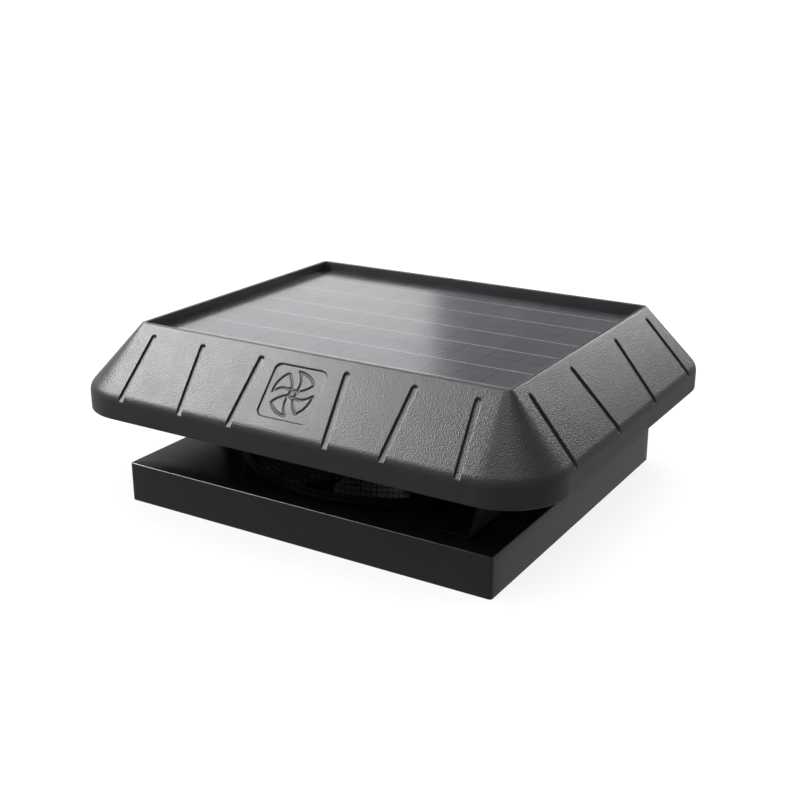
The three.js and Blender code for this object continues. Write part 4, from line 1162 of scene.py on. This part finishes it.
def side_places(marks, straight, lean):
    """Where a side's columns lie along it, on a row whose straight half-length is given."""
    places = []
    for first, second in zip(marks, marks[1:]):
        nominal = mark_place(second, SIDE_MIDDLE, 0.5) - mark_place(first, SIDE_MIDDLE, 0.5)
        count = 1
        if first[0] == "end" or second[0] == "end" or nominal > FINE * 2 and nominal > 2.5:
            count = max(1, round(nominal / COARSE))
        here = mark_place(first, straight, lean)
        there = mark_place(second, straight, lean)
        places += [here + (there - here) * i / count for i in range(count)]
    return np.array(places)


def groove_depth(along, up, top, low):
    """Depth of one groove at points on the slope, with up measured from the rim."""
    start = np.array([top, -GROOVE_TOP])
    end = np.array([low, -SLOPE_LENGTH])
    run = end - start
    length = np.hypot(*run)
    run = run / length
    share = (along - start[0]) * run[0] + (up - start[1]) * run[1]
    share = np.clip(share, 0, length + GROOVE_RUNOUT)
    distance = np.hypot(along - start[0] - share * run[0], up - start[1] - share * run[1])
    half = GROOVE_WIDTH / 2
    return GROOVE_DEPTH * (1 - smooth_step(distance, half - GROOVE_FLANK, half + GROOVE_FLANK))


def badge_depth(along, up):
    """Depth of the sunk badge, with a plain propeller pressed further into its floor."""
    upward = up + GROOVE_TOP + BADGE_LENGTH / 2
    out_x = np.abs(along) - (BADGE_WIDTH / 2 - BADGE_CORNER)
    out_y = np.abs(upward) - (BADGE_LENGTH / 2 - BADGE_CORNER)
    outside = np.hypot(np.maximum(out_x, 0), np.maximum(out_y, 0))
    distance = outside + np.minimum(np.maximum(out_x, out_y), 0) - BADGE_CORNER
    depth = BADGE_DEPTH * (1 - smooth_step(distance, -0.5, 0.5))
    radius = np.hypot(along, upward)
    angle = np.arctan2(upward, along)
    swept = (angle - 0.5 - radius * 0.022) * MARK_BLADES / TURN
    phase = np.abs(swept - np.round(swept)) * TURN / MARK_BLADES
    width = 0.47 * np.sqrt(np.clip((radius - 5) / 20, 0, 1)) + 0.05
    in_span = np.minimum(radius - MARK_INNER, MARK_OUTER - radius)
    in_blade = np.minimum((width - phase) * radius, in_span)
    from_line = np.minimum(np.abs(in_blade), np.abs(radius - MARK_HUB))
    mark = 1 - smooth_step(from_line, *MARK_STROKE)
    return depth + MARK_DEPTH * mark * (distance < -2)


def hood_rows():
    """The hood's profile as rows of kind, out and height, and inside also the inset.

    Out counts outwards from the rim, or from the recess, or is a share of the floor. The inset is
    taken off all round. The rows run from the middle of the recess floor over the rim, down the
    outside and up the inside again."""
    rows = []
    for share in (0.02, 0.5, 0.97):
        rows.append(("floor", share, FLOOR_TOP))
    recess = [(RECESS_DRAFT / 2 * s, FLOOR_TOP + (HOOD_TOP - FLOOR_TOP) * s) for s in (0, 0.3, 0.6)]
    for draft, z in recess:
        rows.append(("recess", draft, z))
    lip = 0.9
    for step in range(4):
        angle = QUARTER * step / 3
        draft = RECESS_DRAFT / 2 + lip * (1 - cos(angle))
        rows.append(("recess", draft, HOOD_TOP - lip * (1 - sin(angle))))
    rim_inset = RIM_ROUND * tan((QUARTER - SLOPE_ANGLE) / 2)
    for step in range(7):
        angle = QUARTER - (QUARTER - SLOPE_ANGLE) * step / 6
        out = RIM_ROUND * cos(angle) - rim_inset
        rows.append(("outside", out, HOOD_TOP - RIM_ROUND + RIM_ROUND * sin(angle)))
    tangent = CREASE_ROUND * tan(SLOPE_ANGLE / 2)
    fine_start = GROOVE_TOP - 4.5
    fine_end = GROOVE_TOP + BADGE_LENGTH + 2.5
    downs = list(np.arange(4, fine_start, 2.4))
    downs += list(np.arange(fine_start, fine_end, FINE))
    downs += list(np.linspace(fine_end + 1.4, SLOPE_LENGTH - tangent - 1.5, 6))
    for down in downs:
        rows.append(("outside", down * sin(SLOPE_ANGLE), HOOD_TOP - down * cos(SLOPE_ANGLE)))
    start = HOOD_CREASE - tangent
    arc_steps = 14
    for step in range(arc_steps + 1):
        angle = SLOPE_ANGLE * (1 - step / arc_steps)
        out = HOOD_SPREAD - CREASE_ROUND * (1 - cos(angle))
        rows.append(("outside", out, start + CREASE_ROUND * sin(angle)))
    foot = 1.2
    for z in (start - 2, start - 5, 131, 126):
        rows.append(("outside", HOOD_SPREAD, z))
    for step in range(4):
        angle = QUARTER * step / 3
        out = HOOD_SPREAD - foot * (1 - cos(angle))
        rows.append(("outside", out, HOOD_BOTTOM + foot * (1 - sin(angle))))
    rows.append(("inside", HOOD_SPREAD, HOOD_BOTTOM, HOOD_WALL - 0.6))
    rows.append(("inside", HOOD_SPREAD, HOOD_BOTTOM + 0.6, HOOD_WALL))
    rows.append(("inside", HOOD_SPREAD, HOOD_BOTTOM + 12, HOOD_WALL))
    crease = HOOD_CREASE - HOOD_WALL * tan(SLOPE_ANGLE / 2)
    slope_inset = HOOD_WALL / cos(SLOPE_ANGLE)
    for step in range(7):
        angle = SLOPE_ANGLE * step / 6
        inner = CREASE_ROUND - HOOD_WALL
        out = HOOD_SPREAD - inner * (1 - cos(angle))
        z = crease - inner * tan(SLOPE_ANGLE / 2) + inner * sin(angle)
        rows.append(("inside", out, z, HOOD_WALL))
    for z in (170, 195):
        rows.append(("inside", (HOOD_TOP - z) * tan(SLOPE_ANGLE), z, slope_inset))
    top = HOOD_TOP - 2 * HOOD_WALL
    rows.append(("inside", (HOOD_TOP - top) * tan(SLOPE_ANGLE), top, slope_inset))
    for z in (top, 212, FLOOR_BOTTOM + 1):
        rows.append(("recess", RECESS_WALL, z))
    rows.append(("recess", RECESS_WALL - 0.3, FLOOR_BOTTOM + 0.3))
    rows.append(("recess", RECESS_WALL - 1, FLOOR_BOTTOM))
    for share in (0.5, 0.02):
        rows.append(("floor", share, FLOOR_BOTTOM))
    return rows


def hood_row(row, marks):
    """The points of one row, with the grooves and the badge pressed into the outside."""
    kind, out, z = row[0], row[1], row[2]
    inset = row[3] if len(row) > 3 else 0
    scale = 1.0
    if kind == "floor":
        half_x, half_y, corner = RECESS_X / 2, RECESS_Y / 2, RECESS_CORNER
        scale = out
    elif kind == "recess":
        half_x, half_y, corner = RECESS_X / 2 + out, RECESS_Y / 2 + out, RECESS_CORNER + out
    else:
        half_x = RIM_X / 2 + out - inset
        half_y = RIM_Y / 2 + out - inset
        corner = RIM_CORNER + (SKIRT_CORNER - RIM_CORNER) * out / HOOD_SPREAD - inset
    down = (HOOD_TOP - z) / cos(SLOPE_ANGLE) if kind in ("outside", "inside") else 0
    lean = (min(down, SLOPE_LENGTH) - GROOVE_TOP) / (SLOPE_LENGTH - GROOVE_TOP)
    sine, cosine = sin(SLOPE_ANGLE), cos(SLOPE_ANGLE)
    points = []
    for side in range(4):
        half, reach = (half_y, half_x) if side % 2 == 0 else (half_x, half_y)
        straight = reach - corner
        along = side_places(marks[side], straight, lean)
        out_now = np.full_like(along, half)
        height = np.full_like(along, z)
        if kind == "outside":
            rim = (RIM_Y if side % 2 == 0 else RIM_X) / 2
            up = -(half - rim) * sine + (z - HOOD_TOP) * cosine
            proud = (half - rim) * cosine + (z - HOOD_TOP) * sine
            grooves = FRONT_GROOVES if side % 2 == 0 else SIDE_GROOVES
            depth = np.zeros_like(along)
            for top, low in grooves:
                depth = np.maximum(depth, groove_depth(along, up, top, low))
                depth = np.maximum(depth, groove_depth(along, up, -top, -low))
            if side == 0:
                depth = np.maximum(depth, badge_depth(along, up))
            press = np.maximum(proud + depth, 0)
            press = np.where(depth > 0, press, 0)
            out_now = out_now - press * cosine
            height = height - press * sine
        turn = side * QUARTER
        for a, o, h in zip(along, out_now, height):
            x = a * cos(turn) + o * sin(turn)
            y = a * sin(turn) - o * cos(turn)
            points.append((x * scale, y * scale, h))
        centre_along, centre_out = straight, half - corner
        for step in range(CORNER_COLUMNS):
            angle = QUARTER * step / CORNER_COLUMNS
            a = centre_along + corner * sin(angle)
            o = centre_out + corner * cos(angle)
            x = a * cos(turn) + o * sin(turn)
            y = a * sin(turn) - o * cos(turn)
            points.append((x * scale, y * scale, z))
    return points


def hood_boss():
    """A round boss under the recess floor with a blind pilot hole and a root fillet."""
    low = FLOOR_BOTTOM - BOSS_LENGTH
    profile = [
        (0, low + 9),
        (2.5, low + 9),
        (2.5, low + 0.5),
        (3, low),
        (BOSS_RADIUS - 0.6, low),
        (BOSS_RADIUS, low + 0.6),
        (BOSS_RADIUS + 0.1, FLOOR_BOTTOM - 1.5),
        (BOSS_RADIUS + 1.4, FLOOR_BOTTOM - 0.1),
        (BOSS_RADIUS + 1.4, FLOOR_BOTTOM + 0.5),
        (0, FLOOR_BOTTOM + 0.5),
    ]
    return lathe(profile, 40)


def hood_shell():
    sides = (FRONT_GROOVES, SIDE_GROOVES, FRONT_GROOVES, SIDE_GROOVES)
    marks = [column_marks(grooves, side == 0) for side, grooves in enumerate(sides)]
    shape = skin([hood_row(row, marks) for row in hood_rows()])
    boss = hood_boss()
    for sign_x, sign_y in CORNERS.values():
        shape.join(moved(boss, *bracket_point(sign_x, sign_y, *BRACKET_HEAD_HOLE)))
    fixed("hood_shell", shape, "hood_plastic", sharp=50)


# ------------------------------------------------------------------ solar panel


def solar_panel():
    low = GLASS_TOP - GLASS_THICKNESS
    glass = rounded_box(GLASS_X, GLASS_Y, low, GLASS_TOP, 2, 0.5)
    fixed("panel_glass", glass, "panel_glass", sharp=5)
    low = BACKSHEET_TOP - BACKSHEET_THICKNESS
    sheet = rounded_box(GLASS_X, GLASS_Y, low, BACKSHEET_TOP, 2, 0.15, 4, 1)
    fixed("panel_backsheet", sheet, "backsheet")
    high = low - GAP
    bead = frame_ring(GLASS_X, GLASS_Y, BEDDING_WIDTH, FLOOR_TOP + GAP, high, 2, 0.7)
    fixed("panel_bedding", bead, "sealant")


def cell_string(place, centre_y):
    """Twelve cut cells in a row under two soldered ribbons."""
    cells = Shape()
    pitch = STRING_LENGTH / CELLS_IN_STRING
    for i in range(CELLS_IN_STRING):
        cell = rounded_box(
            pitch - CELL_GAP, CELL_WIDTH, CELL_BOTTOM, CELL_BOTTOM + CELL_THICKNESS, 0.6, 0.1, 2, 1
        )
        cells.join(moved(cell, (i + 0.5) * pitch - STRING_LENGTH / 2, centre_y))
    node = "cell_string_" + place
    piece(node + "_cells", cells, "solar_cell", "housing", node)
    ribbons = Shape()
    low = CELL_BOTTOM + CELL_THICKNESS * 0.4
    high = CELL_BOTTOM + CELL_THICKNESS + RIBBON_RISE
    for offset in (-RIBBON_OFFSET, RIBBON_OFFSET):
        strap = rounded_box(STRING_LENGTH, RIBBON_WIDTH, low, high, 0.2, 0.1, 1, 1)
        ribbons.join(moved(strap, 0, centre_y + offset))
    piece(node + "_ribbons", ribbons, "ribbon", "housing", node)


def bus_ribbon(place, centre_y):
    reach = STRING_PITCH / 2 - RIBBON_OFFSET + RIBBON_WIDTH
    x = STRING_LENGTH / 2 + GAP + BUS_WIDTH / 2
    strap = rounded_box(
        BUS_WIDTH, 2 * reach, CELL_BOTTOM, CELL_BOTTOM + CELL_THICKNESS, 0.3, 0.15, 2, 1
    )
    node = "bus_ribbon_" + place
    fixed(node, moved(strap, x, centre_y), "ribbon")


# ------------------------------------------------------------------ wiring


def junction_box():
    """A moulded box open below, with a round top edge and a step near its foot."""
    top = FLOOR_BOTTOM - GAP
    low = top - BOX_HEIGHT

    def ring(inset, z):
        corner = max(BOX_CORNER - inset, 1)
        outline = box_outline(BOX_X - 2 * inset, BOX_Y - 2 * inset, corner, 5, 8)
        return at_height(outline, z)

    rings = [ring(BOX_X / 4, top), ring(1.5, top), ring(0.4, top - 0.4), ring(0, top - 1.5)]
    rings += [ring(0, low + 4), ring(0.6, low + 3.6), ring(0.6, low + 0.3), ring(0.9, low)]
    rings += [ring(BOX_WALL - 0.2, low), ring(BOX_WALL, low + 0.4), ring(BOX_WALL, top - 3)]
    rings += [ring(BOX_WALL + 1, top - BOX_WALL), ring(BOX_X / 4, top - BOX_WALL)]
    fixed("junction_box", moved(skin(rings), BOX_CENTRE_X), "box_plastic")


def junction_box_lid():
    """The lid with a raised field and four buttons at its corners."""
    top = FLOOR_BOTTOM - GAP - BOX_HEIGHT - GAP
    low = top - LID_THICKNESS
    shape = rounded_box(BOX_X, BOX_Y, low + 0.8, top, BOX_CORNER, 0.5)
    shape.join(rounded_box(BOX_X - 22, BOX_Y - 10, low, top - 0.6, 3, 0.4))
    for sign_x, sign_y in CORNERS.values():
        profile = [(0, low + 0.1), (2.6, low + 0.1), (3, low + 0.5), (3, top - 1), (0, top - 1)]
        button = lathe(profile, 20)
        shape.join(moved(button, sign_x * (BOX_X / 2 - 6), sign_y * (BOX_Y / 2 - 6)))
    lid = moved(shape, BOX_CENTRE_X)
    fixed("junction_box_lid", lid, "box_plastic")


def cable_gland():
    """A gland on z = 0: hexagon body, ribbed dome nut and a soft lip round the cable."""
    bore = CABLE_RADIUS + 0.5
    shape = Shape()
    outline = rounded(circle(GLAND_RADIUS, 6), 0.6, 2)
    shape.join(prism(outline, 0, 3.6))
    dome = [(bore, 3), (GLAND_RADIUS - 0.7, 3), (GLAND_RADIUS - 0.6, 7), (GLAND_RADIUS - 1.2, 8.6)]
    dome += [(bore + 0.9, GLAND_LENGTH), (bore, GLAND_LENGTH - 0.2)]
    shape.join(lathe(dome, 36))
    for rib in range(12):
        strip = prism(circle(0.5, 6), 3.8, 7)
        shape.join(moved(strip, *polar(GLAND_RADIUS - 0.8, TURN * rib / 12)))
    return shape


def smooth_route(points, steps=9):
    """A centripetal Catmull-Rom curve through the points."""
    places = [Vector(point) for point in points]
    places = [2 * places[0] - places[1], *places, 2 * places[-1] - places[-2]]
    result = []
    for i in range(1, len(places) - 2):
        p0, p1, p2, p3 = places[i - 1 : i + 3]
        t0 = 0
        t1 = t0 + sqrt((p1 - p0).length)
        t2 = t1 + sqrt((p2 - p1).length)
        t3 = t2 + sqrt((p3 - p2).length)
        for step in range(steps):
            t = t1 + (t2 - t1) * step / steps
            a1 = p0 * (t1 - t) / (t1 - t0) + p1 * (t - t0) / (t1 - t0)
            a2 = p1 * (t2 - t) / (t2 - t1) + p2 * (t - t1) / (t2 - t1)
            a3 = p2 * (t3 - t) / (t3 - t2) + p3 * (t - t2) / (t3 - t2)
            b1 = a1 * (t2 - t) / (t2 - t0) + a2 * (t - t0) / (t2 - t0)
            b2 = a2 * (t3 - t) / (t3 - t1) + a3 * (t - t1) / (t3 - t1)
            result.append(tuple(b1 * (t2 - t) / (t2 - t1) + b2 * (t - t1) / (t2 - t1)))
    result.append(tuple(places[-2]))
    return result


def wiring():
    junction_box()
    junction_box_lid()
    gland = cable_gland()
    along_x = Matrix.Translation((BOX_CENTRE_X + BOX_X / 2 + GAP, 0, CABLE_HEIGHT))
    along_x = along_x @ Matrix.Rotation(QUARTER, 4, "Y")
    fixed("box_gland", Shape().join(gland, along_x), "box_plastic")
    seat = MOTOR_TOP + GAP + COVER_THICKNESS + GAP
    upright = moved(gland, CABLE_DROP_X, 0, seat)
    fixed("motor_gland", upright, "box_plastic")
    lead = tube(smooth_route(CABLE_ROUTE), CABLE_RADIUS, 16)
    fixed("motor_cable", lead, "cable_jacket")


# ------------------------------------------------------------------ motor


def motor_bridge():
    """A round plate on four bent arms."""
    top = BRIDGE_BOTTOM + BRIDGE_SHEET
    foot = FLANGE_TOP + GAP
    plate = [
        (BRIDGE_HOLE_RADIUS, BRIDGE_BOTTOM),
        (BRIDGE_PLATE_RADIUS, BRIDGE_BOTTOM),
        (BRIDGE_PLATE_RADIUS, top),
        (BRIDGE_HOLE_RADIUS, top),
    ]
    shape = lathe(rounded(plate, 0.6, 2), 96)
    corners = [
        (BRIDGE_PLATE_RADIUS - 16, top - BRIDGE_SHEET),
        (BRIDGE_LEG_RADIUS, BRIDGE_BOTTOM),
        (BRIDGE_LEG_RADIUS, foot),
        (BRIDGE_FOOT_RADIUS, foot),
    ]
    path = rounded(corners, [0, 3, 1.5, 0], 4, closed=False)
    half = BRIDGE_ARM_WIDTH / 2
    arm = bent_strip(path, [(-half, half)] * len(path), BRIDGE_SHEET)
    for i in range(4):
        shape.join(moved(arm, turn=(i + 0.5) * QUARTER))
    fixed("motor_bridge", shape, "dark_paint", bevel=0.4)


def motor_can():
    """Flange, can with cooling rings, and the boss of the lower bearing."""
    flange = MOTOR_BOTTOM + MOTOR_FLANGE
    boss_top = flange + GAP + BEARING_HEIGHT
    profile = [(SHAFT_RADIUS + 1, MOTOR_BOTTOM), (MOTOR_FLANGE_RADIUS - 0.5, MOTOR_BOTTOM)]
    profile += [(MOTOR_FLANGE_RADIUS, MOTOR_BOTTOM + 0.5), (MOTOR_FLANGE_RADIUS, flange - 0.5)]
    profile += [(MOTOR_FLANGE_RADIUS - 0.5, flange), (MOTOR_RADIUS, flange)]
    rings = 6
    for ring in range(rings):
        z = flange + 6 + ring * (MOTOR_TOP - flange - 12) / rings
        profile += [(MOTOR_RADIUS, z), (MOTOR_RADIUS - 0.7, z + 0.7)]
        profile += [(MOTOR_RADIUS - 0.7, z + 2.4), (MOTOR_RADIUS, z + 3.1)]
    profile += [(MOTOR_RADIUS, MOTOR_TOP - 0.4), (MOTOR_RADIUS - 0.4, MOTOR_TOP)]
    profile += [(MOTOR_RADIUS - MOTOR_WALL, MOTOR_TOP), (MOTOR_RADIUS - MOTOR_WALL, flange)]
    profile += [(BEARING_BOSS, flange), (BEARING_BOSS, boss_top), (BEARING_RADIUS + GAP, boss_top)]
    profile += [(BEARING_RADIUS + GAP, flange), (SHAFT_RADIUS + 1, flange)]
    fixed("motor_can", lathe(profile, 96), "motor_paint")


def motor_cover():
    """The cover with a stepped rim, radial ribs and the boss of the upper bearing under it."""
    low = MOTOR_TOP + GAP
    top = low + COVER_THICKNESS
    boss_low = low - BEARING_HEIGHT - GAP
    profile = [
        (0, low),
        (BEARING_RADIUS + GAP, low),
        (BEARING_RADIUS + GAP, boss_low),
        (BEARING_BOSS, boss_low),
        (BEARING_BOSS, low),
        (MOTOR_RADIUS - 0.4, low),
        (MOTOR_RADIUS, low + 0.4),
        (MOTOR_RADIUS, top - 1.2),
        (MOTOR_RADIUS - 0.8, top - 0.6),
        (MOTOR_RADIUS - 6, top - 0.6),
        (MOTOR_RADIUS - 6.6, top - 0.9),
        (16, top - 0.9),
        (15, top),
        (0, top),
    ]
    shape = lathe(profile, 96)
    for rib in range(8):
        angle = TURN * (rib + 0.5) / 8
        bar = rounded_box(20, 2, top - 1.2, top - 0.2, 0.9, 0.3, 4, 2)
        shape.join(moved(bar, *polar(RIB_RADIUS, angle), turn=angle))
    fixed("motor_cover", shape, "motor_paint")


def stator_winding():
    """A coil round each tooth, made of separate loops of wire."""
    shape = Shape()
    middle = (STATOR_BOTTOM + STATOR_TOP) / 2
    tall = (STATOR_TOP - STATOR_BOTTOM) / 2 + 2.4
    for tooth in range(STATOR_TEETH):
        angle = TURN * tooth / STATOR_TEETH
        turn = Matrix.Rotation(angle, 4, "Z")
        for layer in range(WINDING_LAYERS):
            radius = MAGNET_RADIUS + 5.4 + layer * WINDING_PITCH
            loop = box_outline(2 * (4.0 + layer * 0.35), 2 * tall, 2.2, 3)
            points = [(radius, y, middle + z) for y, z in loop]
            shape.join(wire_loop(points, WINDING_WIRE), turn)
    fixed("stator_winding", shape, "copper", sharp=60)


def driver_board():
    """A round board with nine small parts on it."""
    top = BOARD_BOTTOM + BOARD_THICKNESS
    inner = BEARING_BOSS + 3
    outer = MOTOR_RADIUS - MOTOR_WALL - 1.5
    ring = [(inner, BOARD_BOTTOM), (outer, BOARD_BOTTOM), (outer, top), (inner, top)]
    shape = lathe(rounded(ring, 0.2, 1), 72)
    for part in range(9):
        angle = TURN * (part + 0.3) / 9
        size = 3 + (part % 3) * 1.5
        chip = rounded_box(size, 3, top - 0.2, top + 1.0 + (part % 2) * 0.8, 0.3, 0.2, 2, 1)
        shape.join(moved(chip, *polar(CHIP_RADIUS, angle), turn=angle))
    fixed("driver_board", shape, "board")


def bearing():
    """A ball bearing: two rings with a sunk shield between them."""
    profile = [
        (BEARING_BORE, 0.4),
        (BEARING_BORE + 0.4, 0),
        (BEARING_BORE + 1.5, 0),
        (BEARING_BORE + 1.7, 0.4),
        (BEARING_RADIUS - 1.7, 0.4),
        (BEARING_RADIUS - 1.5, 0),
        (BEARING_RADIUS - 0.4, 0),
        (BEARING_RADIUS, 0.4),
    ]
    profile += [(radius, BEARING_HEIGHT - z) for radius, z in reversed(profile)]
    return lathe(profile, 48)


def rubber_mount():
    """A waisted rubber bush."""
    bore, outer = 2.8, 7
    profile = [(bore, 0), (outer - 0.6, 0), (outer, 0.6), (outer, 1.6), (outer - 1.2, 2.2)]
    profile += [(radius, MOUNT_HEIGHT - z) for radius, z in reversed(profile)]
    return lathe(profile, 32)


def motor():
    motor_bridge()
    motor_can()
    motor_cover()
    stator_winding()
    driver_board()
    bush = bearing()
    low = MOTOR_BOTTOM + MOTOR_FLANGE + GAP
    lower = moved(bush, z=low)
    fixed("lower_bearing", lower, "bearing_steel")
    upper = moved(bush, z=MOTOR_TOP - BEARING_HEIGHT)
    fixed("upper_bearing", upper, "bearing_steel")
    mount = rubber_mount()
    bolt = pan_screw(*MOTOR_SCREW)
    screw = hex_screw(*BRIDGE_SCREW)
    for i in range(4):
        x, y = polar(MOTOR_BOLT_RADIUS, i * QUARTER)
        name = f"rubber_mount_{i + 1}"
        seat = BRIDGE_BOTTOM + BRIDGE_SHEET + GAP
        fixed(name, moved(mount, x, y, seat), "rubber")
        name = f"motor_screw_{i + 1}"
        seat = MOTOR_BOTTOM + MOTOR_FLANGE + GAP
        fixed(name, moved(bolt, x, y, seat, turn=i), "zinc_steel")
    seat = FLANGE_TOP + GAP + BRIDGE_SHEET + GAP
    diagonal = BRIDGE_SCREW_RADIUS * sqrt(0.5)
    for corner, (sign_x, sign_y) in CORNERS.items():
        name = "bridge_screw_" + corner
        placed = moved(screw, sign_x * diagonal, sign_y * diagonal, seat, turn=sign_x + sign_y)
        fixed(name, placed, "zinc_steel")


# ------------------------------------------------------------------ fan


def blade_point(span, chordwise, offset):
    """A point of a blade lying along +X: span 0 to 1, chordwise -1 to 1, offset off its middle."""
    edge = abs(chordwise) ** 8
    root = BLADE_ROOT_RADIUS + 7 * edge
    tip = BLADE_TIP_RADIUS - 12 * edge
    radius = root + (tip - root) * span
    along = (radius - BLADE_ROOT_RADIUS) / (BLADE_TIP_RADIUS - BLADE_ROOT_RADIUS)
    chord = BLADE_ROOT_CHORD + (BLADE_TIP_CHORD - BLADE_ROOT_CHORD) * along**0.7
    pitch = BLADE_ROOT_PITCH + (BLADE_TIP_PITCH - BLADE_ROOT_PITCH) * along
    hollow = BLADE_CAMBER * chord * (1 - chordwise**2)
    run = chordwise * chord / 2
    lift = offset - hollow
    forward = run * cos(pitch) + lift * sin(pitch)
    height = BLADE_Z - run * sin(pitch) + lift * cos(pitch)
    angle = forward / radius
    return (*polar(radius, angle), height)


def fan_blade():
    """A pressed blade with round corners and edges, and three rivets over its hub arm."""
    spans, chords = 26, 26
    half = BLADE_SHEET / 2
    rings = []
    for i in range(spans + 1):
        span = i / spans
        ring = []
        for j in range(chords + 1):
            ring.append(blade_point(span, 2 * j / chords - 1, half))
        for j in range(chords + 1):
            ring.append(blade_point(span, 1 - 2 * j / chords, -half))
        rings.append(ring)
    shape = skin(rings)
    rivet = lathe([(0, -3.6), (2, -3.6), (2, 0), (3.6, 0), (3.4, 0.9), (2, 1.6), (0, 1.8)], 20)
    for place in (58, 68, 77):
        span = (place - BLADE_ROOT_RADIUS) / (BLADE_TIP_RADIUS - BLADE_ROOT_RADIUS)
        x, y, z = blade_point(span, 0, half)
        tilt = Matrix.Rotation(-HUB_ARM_PITCH, 4, "X")
        shape.join(rivet, Matrix.Translation((x, y, z)) @ tilt)
    return shape


def fan_hub():
    """A turned boss with one pressed arm under each blade."""
    bore = SHAFT_RADIUS + GAP
    profile = [
        (bore, HUB_BOTTOM),
        (HUB_RADIUS, HUB_BOTTOM),
        (HUB_RADIUS, HUB_TOP - 6),
        (HUB_RADIUS - 4, HUB_TOP - 5),
        (HUB_RADIUS - 4, HUB_TOP),
        (bore, HUB_TOP),
    ]
    shape = lathe(rounded(profile, 0.8, 2), 64)
    root = HUB_RADIUS - 6
    half = HUB_ARM_WIDTH / 2
    corners = [(root, -half), (HUB_ARM_REACH, -half), (HUB_ARM_REACH, half), (root, half)]
    outline = rounded(corners, [0, HUB_ARM_CORNER, HUB_ARM_CORNER, 0], 5)
    arm = prism(outline, -HUB_ARM_DROP - HUB_ARM_SHEET, -HUB_ARM_DROP)
    lay = Matrix.Translation((0, 0, BLADE_Z)) @ Matrix.Rotation(-HUB_ARM_PITCH, 4, "X")
    for i in range(BLADES):
        shape.join(arm, Matrix.Rotation(TURN * i / BLADES, 4, "Z") @ lay)
    return shape


def hub_nut():
    """A hexagon lock nut with chamfered corners and a collar."""
    top = HUB_BOTTOM - GAP
    bore = SHAFT_RADIUS + GAP
    sector = TURN / 6
    rings = []
    for radius, z in ((bore, 0), (6.4, 0), (7.5, 0.7), (7.5, 4.6), (6.6, 5.2), (5.8, 6), (bore, 6)):
        hexagon = radius > 6
        ring = []
        for step in range(36):
            angle = TURN * step / 36
            reach = radius * (cos(sector / 2) / cos(angle % sector - sector / 2) if hexagon else 1)
            ring.append((*polar(reach, angle), top - z))
        rings.append(ring)
    return skin(rings, close_path=True)


def motor_shaft():
    """A ground shaft with chamfered ends and a thread under the nut."""
    top = MOTOR_TOP - 1
    profile = [(0, SHAFT_BOTTOM), (SHAFT_RADIUS - 0.9, SHAFT_BOTTOM)]
    for ridge in range(8):
        z = SHAFT_BOTTOM + 0.9 + ridge
        profile += [(SHAFT_RADIUS - 0.5, z), (SHAFT_RADIUS, z + 0.5)]
    profile += [(SHAFT_RADIUS, top - 0.8), (SHAFT_RADIUS - 0.8, top), (0, top)]
    return lathe(profile, 40)


def rotor_magnet():
    """A magnet ring with eight pole pieces parted by shallow slots."""
    bore = SHAFT_RADIUS + GAP
    rings = []
    for radius, z in (
        (bore, STATOR_BOTTOM - 1),
        (MAGNET_RADIUS - 0.6, STATOR_BOTTOM - 1),
        (MAGNET_RADIUS, STATOR_BOTTOM - 0.4),
        (MAGNET_RADIUS, STATOR_TOP + 0.4),
        (MAGNET_RADIUS - 0.6, STATOR_TOP + 1),
        (bore, STATOR_TOP + 1),
    ):
        ring = []
        for step in range(96):
            slot = 0.8 if step % 12 == 0 and radius > bore else 0
            angle = TURN * step / 96
            ring.append((*polar(radius - slot, angle), z))
        rings.append(ring)
    return skin(rings, close_path=True)


def rotor():
    turning("motor_shaft", motor_shaft(), "zinc_steel")
    turning("rotor_magnet", rotor_magnet(), "magnet")
    turning("fan_hub", fan_hub(), "zinc_steel", bevel=0.4)
    turning("hub_nut", hub_nut(), "zinc_steel")
    shape = fan_blade()
    for i in range(BLADES):
        blade = moved(shape, turn=TURN * i / BLADES)
        name = f"fan_blade_{i + 1}"
        turning(name, blade, "blade_aluminium")


# ------------------------------------------------------------------ the scene


def carry_over(node, look_name):
    """Keeps a CAD node whose shape is right and gives it its finish."""
    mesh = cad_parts[node].data
    mesh.materials.clear()
    mesh.materials.append(LOOKS[look_name].material)
    LIT.objects.link(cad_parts[node])


def stage_sheet(name, look_name, half_x, half_y, height):
    """A flat level sheet, in millimetres, that belongs to the stage and not to the fan."""
    mesh = bpy.data.meshes.new(name)
    corners = [(x * MM, y * MM, height * MM) for x, y in circle(sqrt(2), 4, pi / 4)]
    corners = [(x * half_x, y * half_y, z) for x, y, z in corners]
    mesh.from_pydata(corners, [], [(0, 1, 2, 3)])
    mesh.materials.append(LOOKS[look_name].material)
    sheet = bpy.data.objects.new(name, mesh)
    bpy.context.scene.collection.objects.link(sheet)
    return sheet


def add_floor():
    """White paper that the fan doesn't mirror, and a near-black sheet of painted shade inside the
    curb, where the paper light would otherwise reach the floor under the cap.
    """
    paper = stage_sheet("paper", "floor_paper", PAPER_REACH, PAPER_REACH, 0)
    PAPER.objects.link(paper)
    paper.visible_glossy = False
    paper.visible_diffuse = False
    inside = CAP_SHEET + 1
    # Painted shade: a near-black sheet in place of the shadow that the cap and hood don't cast on
    # the paper.
    stage_sheet("painted_shade_sheet", "painted_shade_black", CAP_X / 2 - inside, CAP_Y / 2 - inside, PAINTED_SHADE_HEIGHT)


add_camera()
add_lights()
curb_cap()
curb_gasket()
throat_ring()
outlet_screen()
brackets()
hood_shell()
solar_panel()
for step, place in ((-1, "front"), (0, "middle"), (1, "back")):
    cell_string(place, step * STRING_PITCH)
bus_ribbon("front", -STRING_PITCH / 2)
bus_ribbon("back", STRING_PITCH / 2)
wiring()
motor()
rotor()
carry_over("stator_core", "electrical_steel")
add_floor()
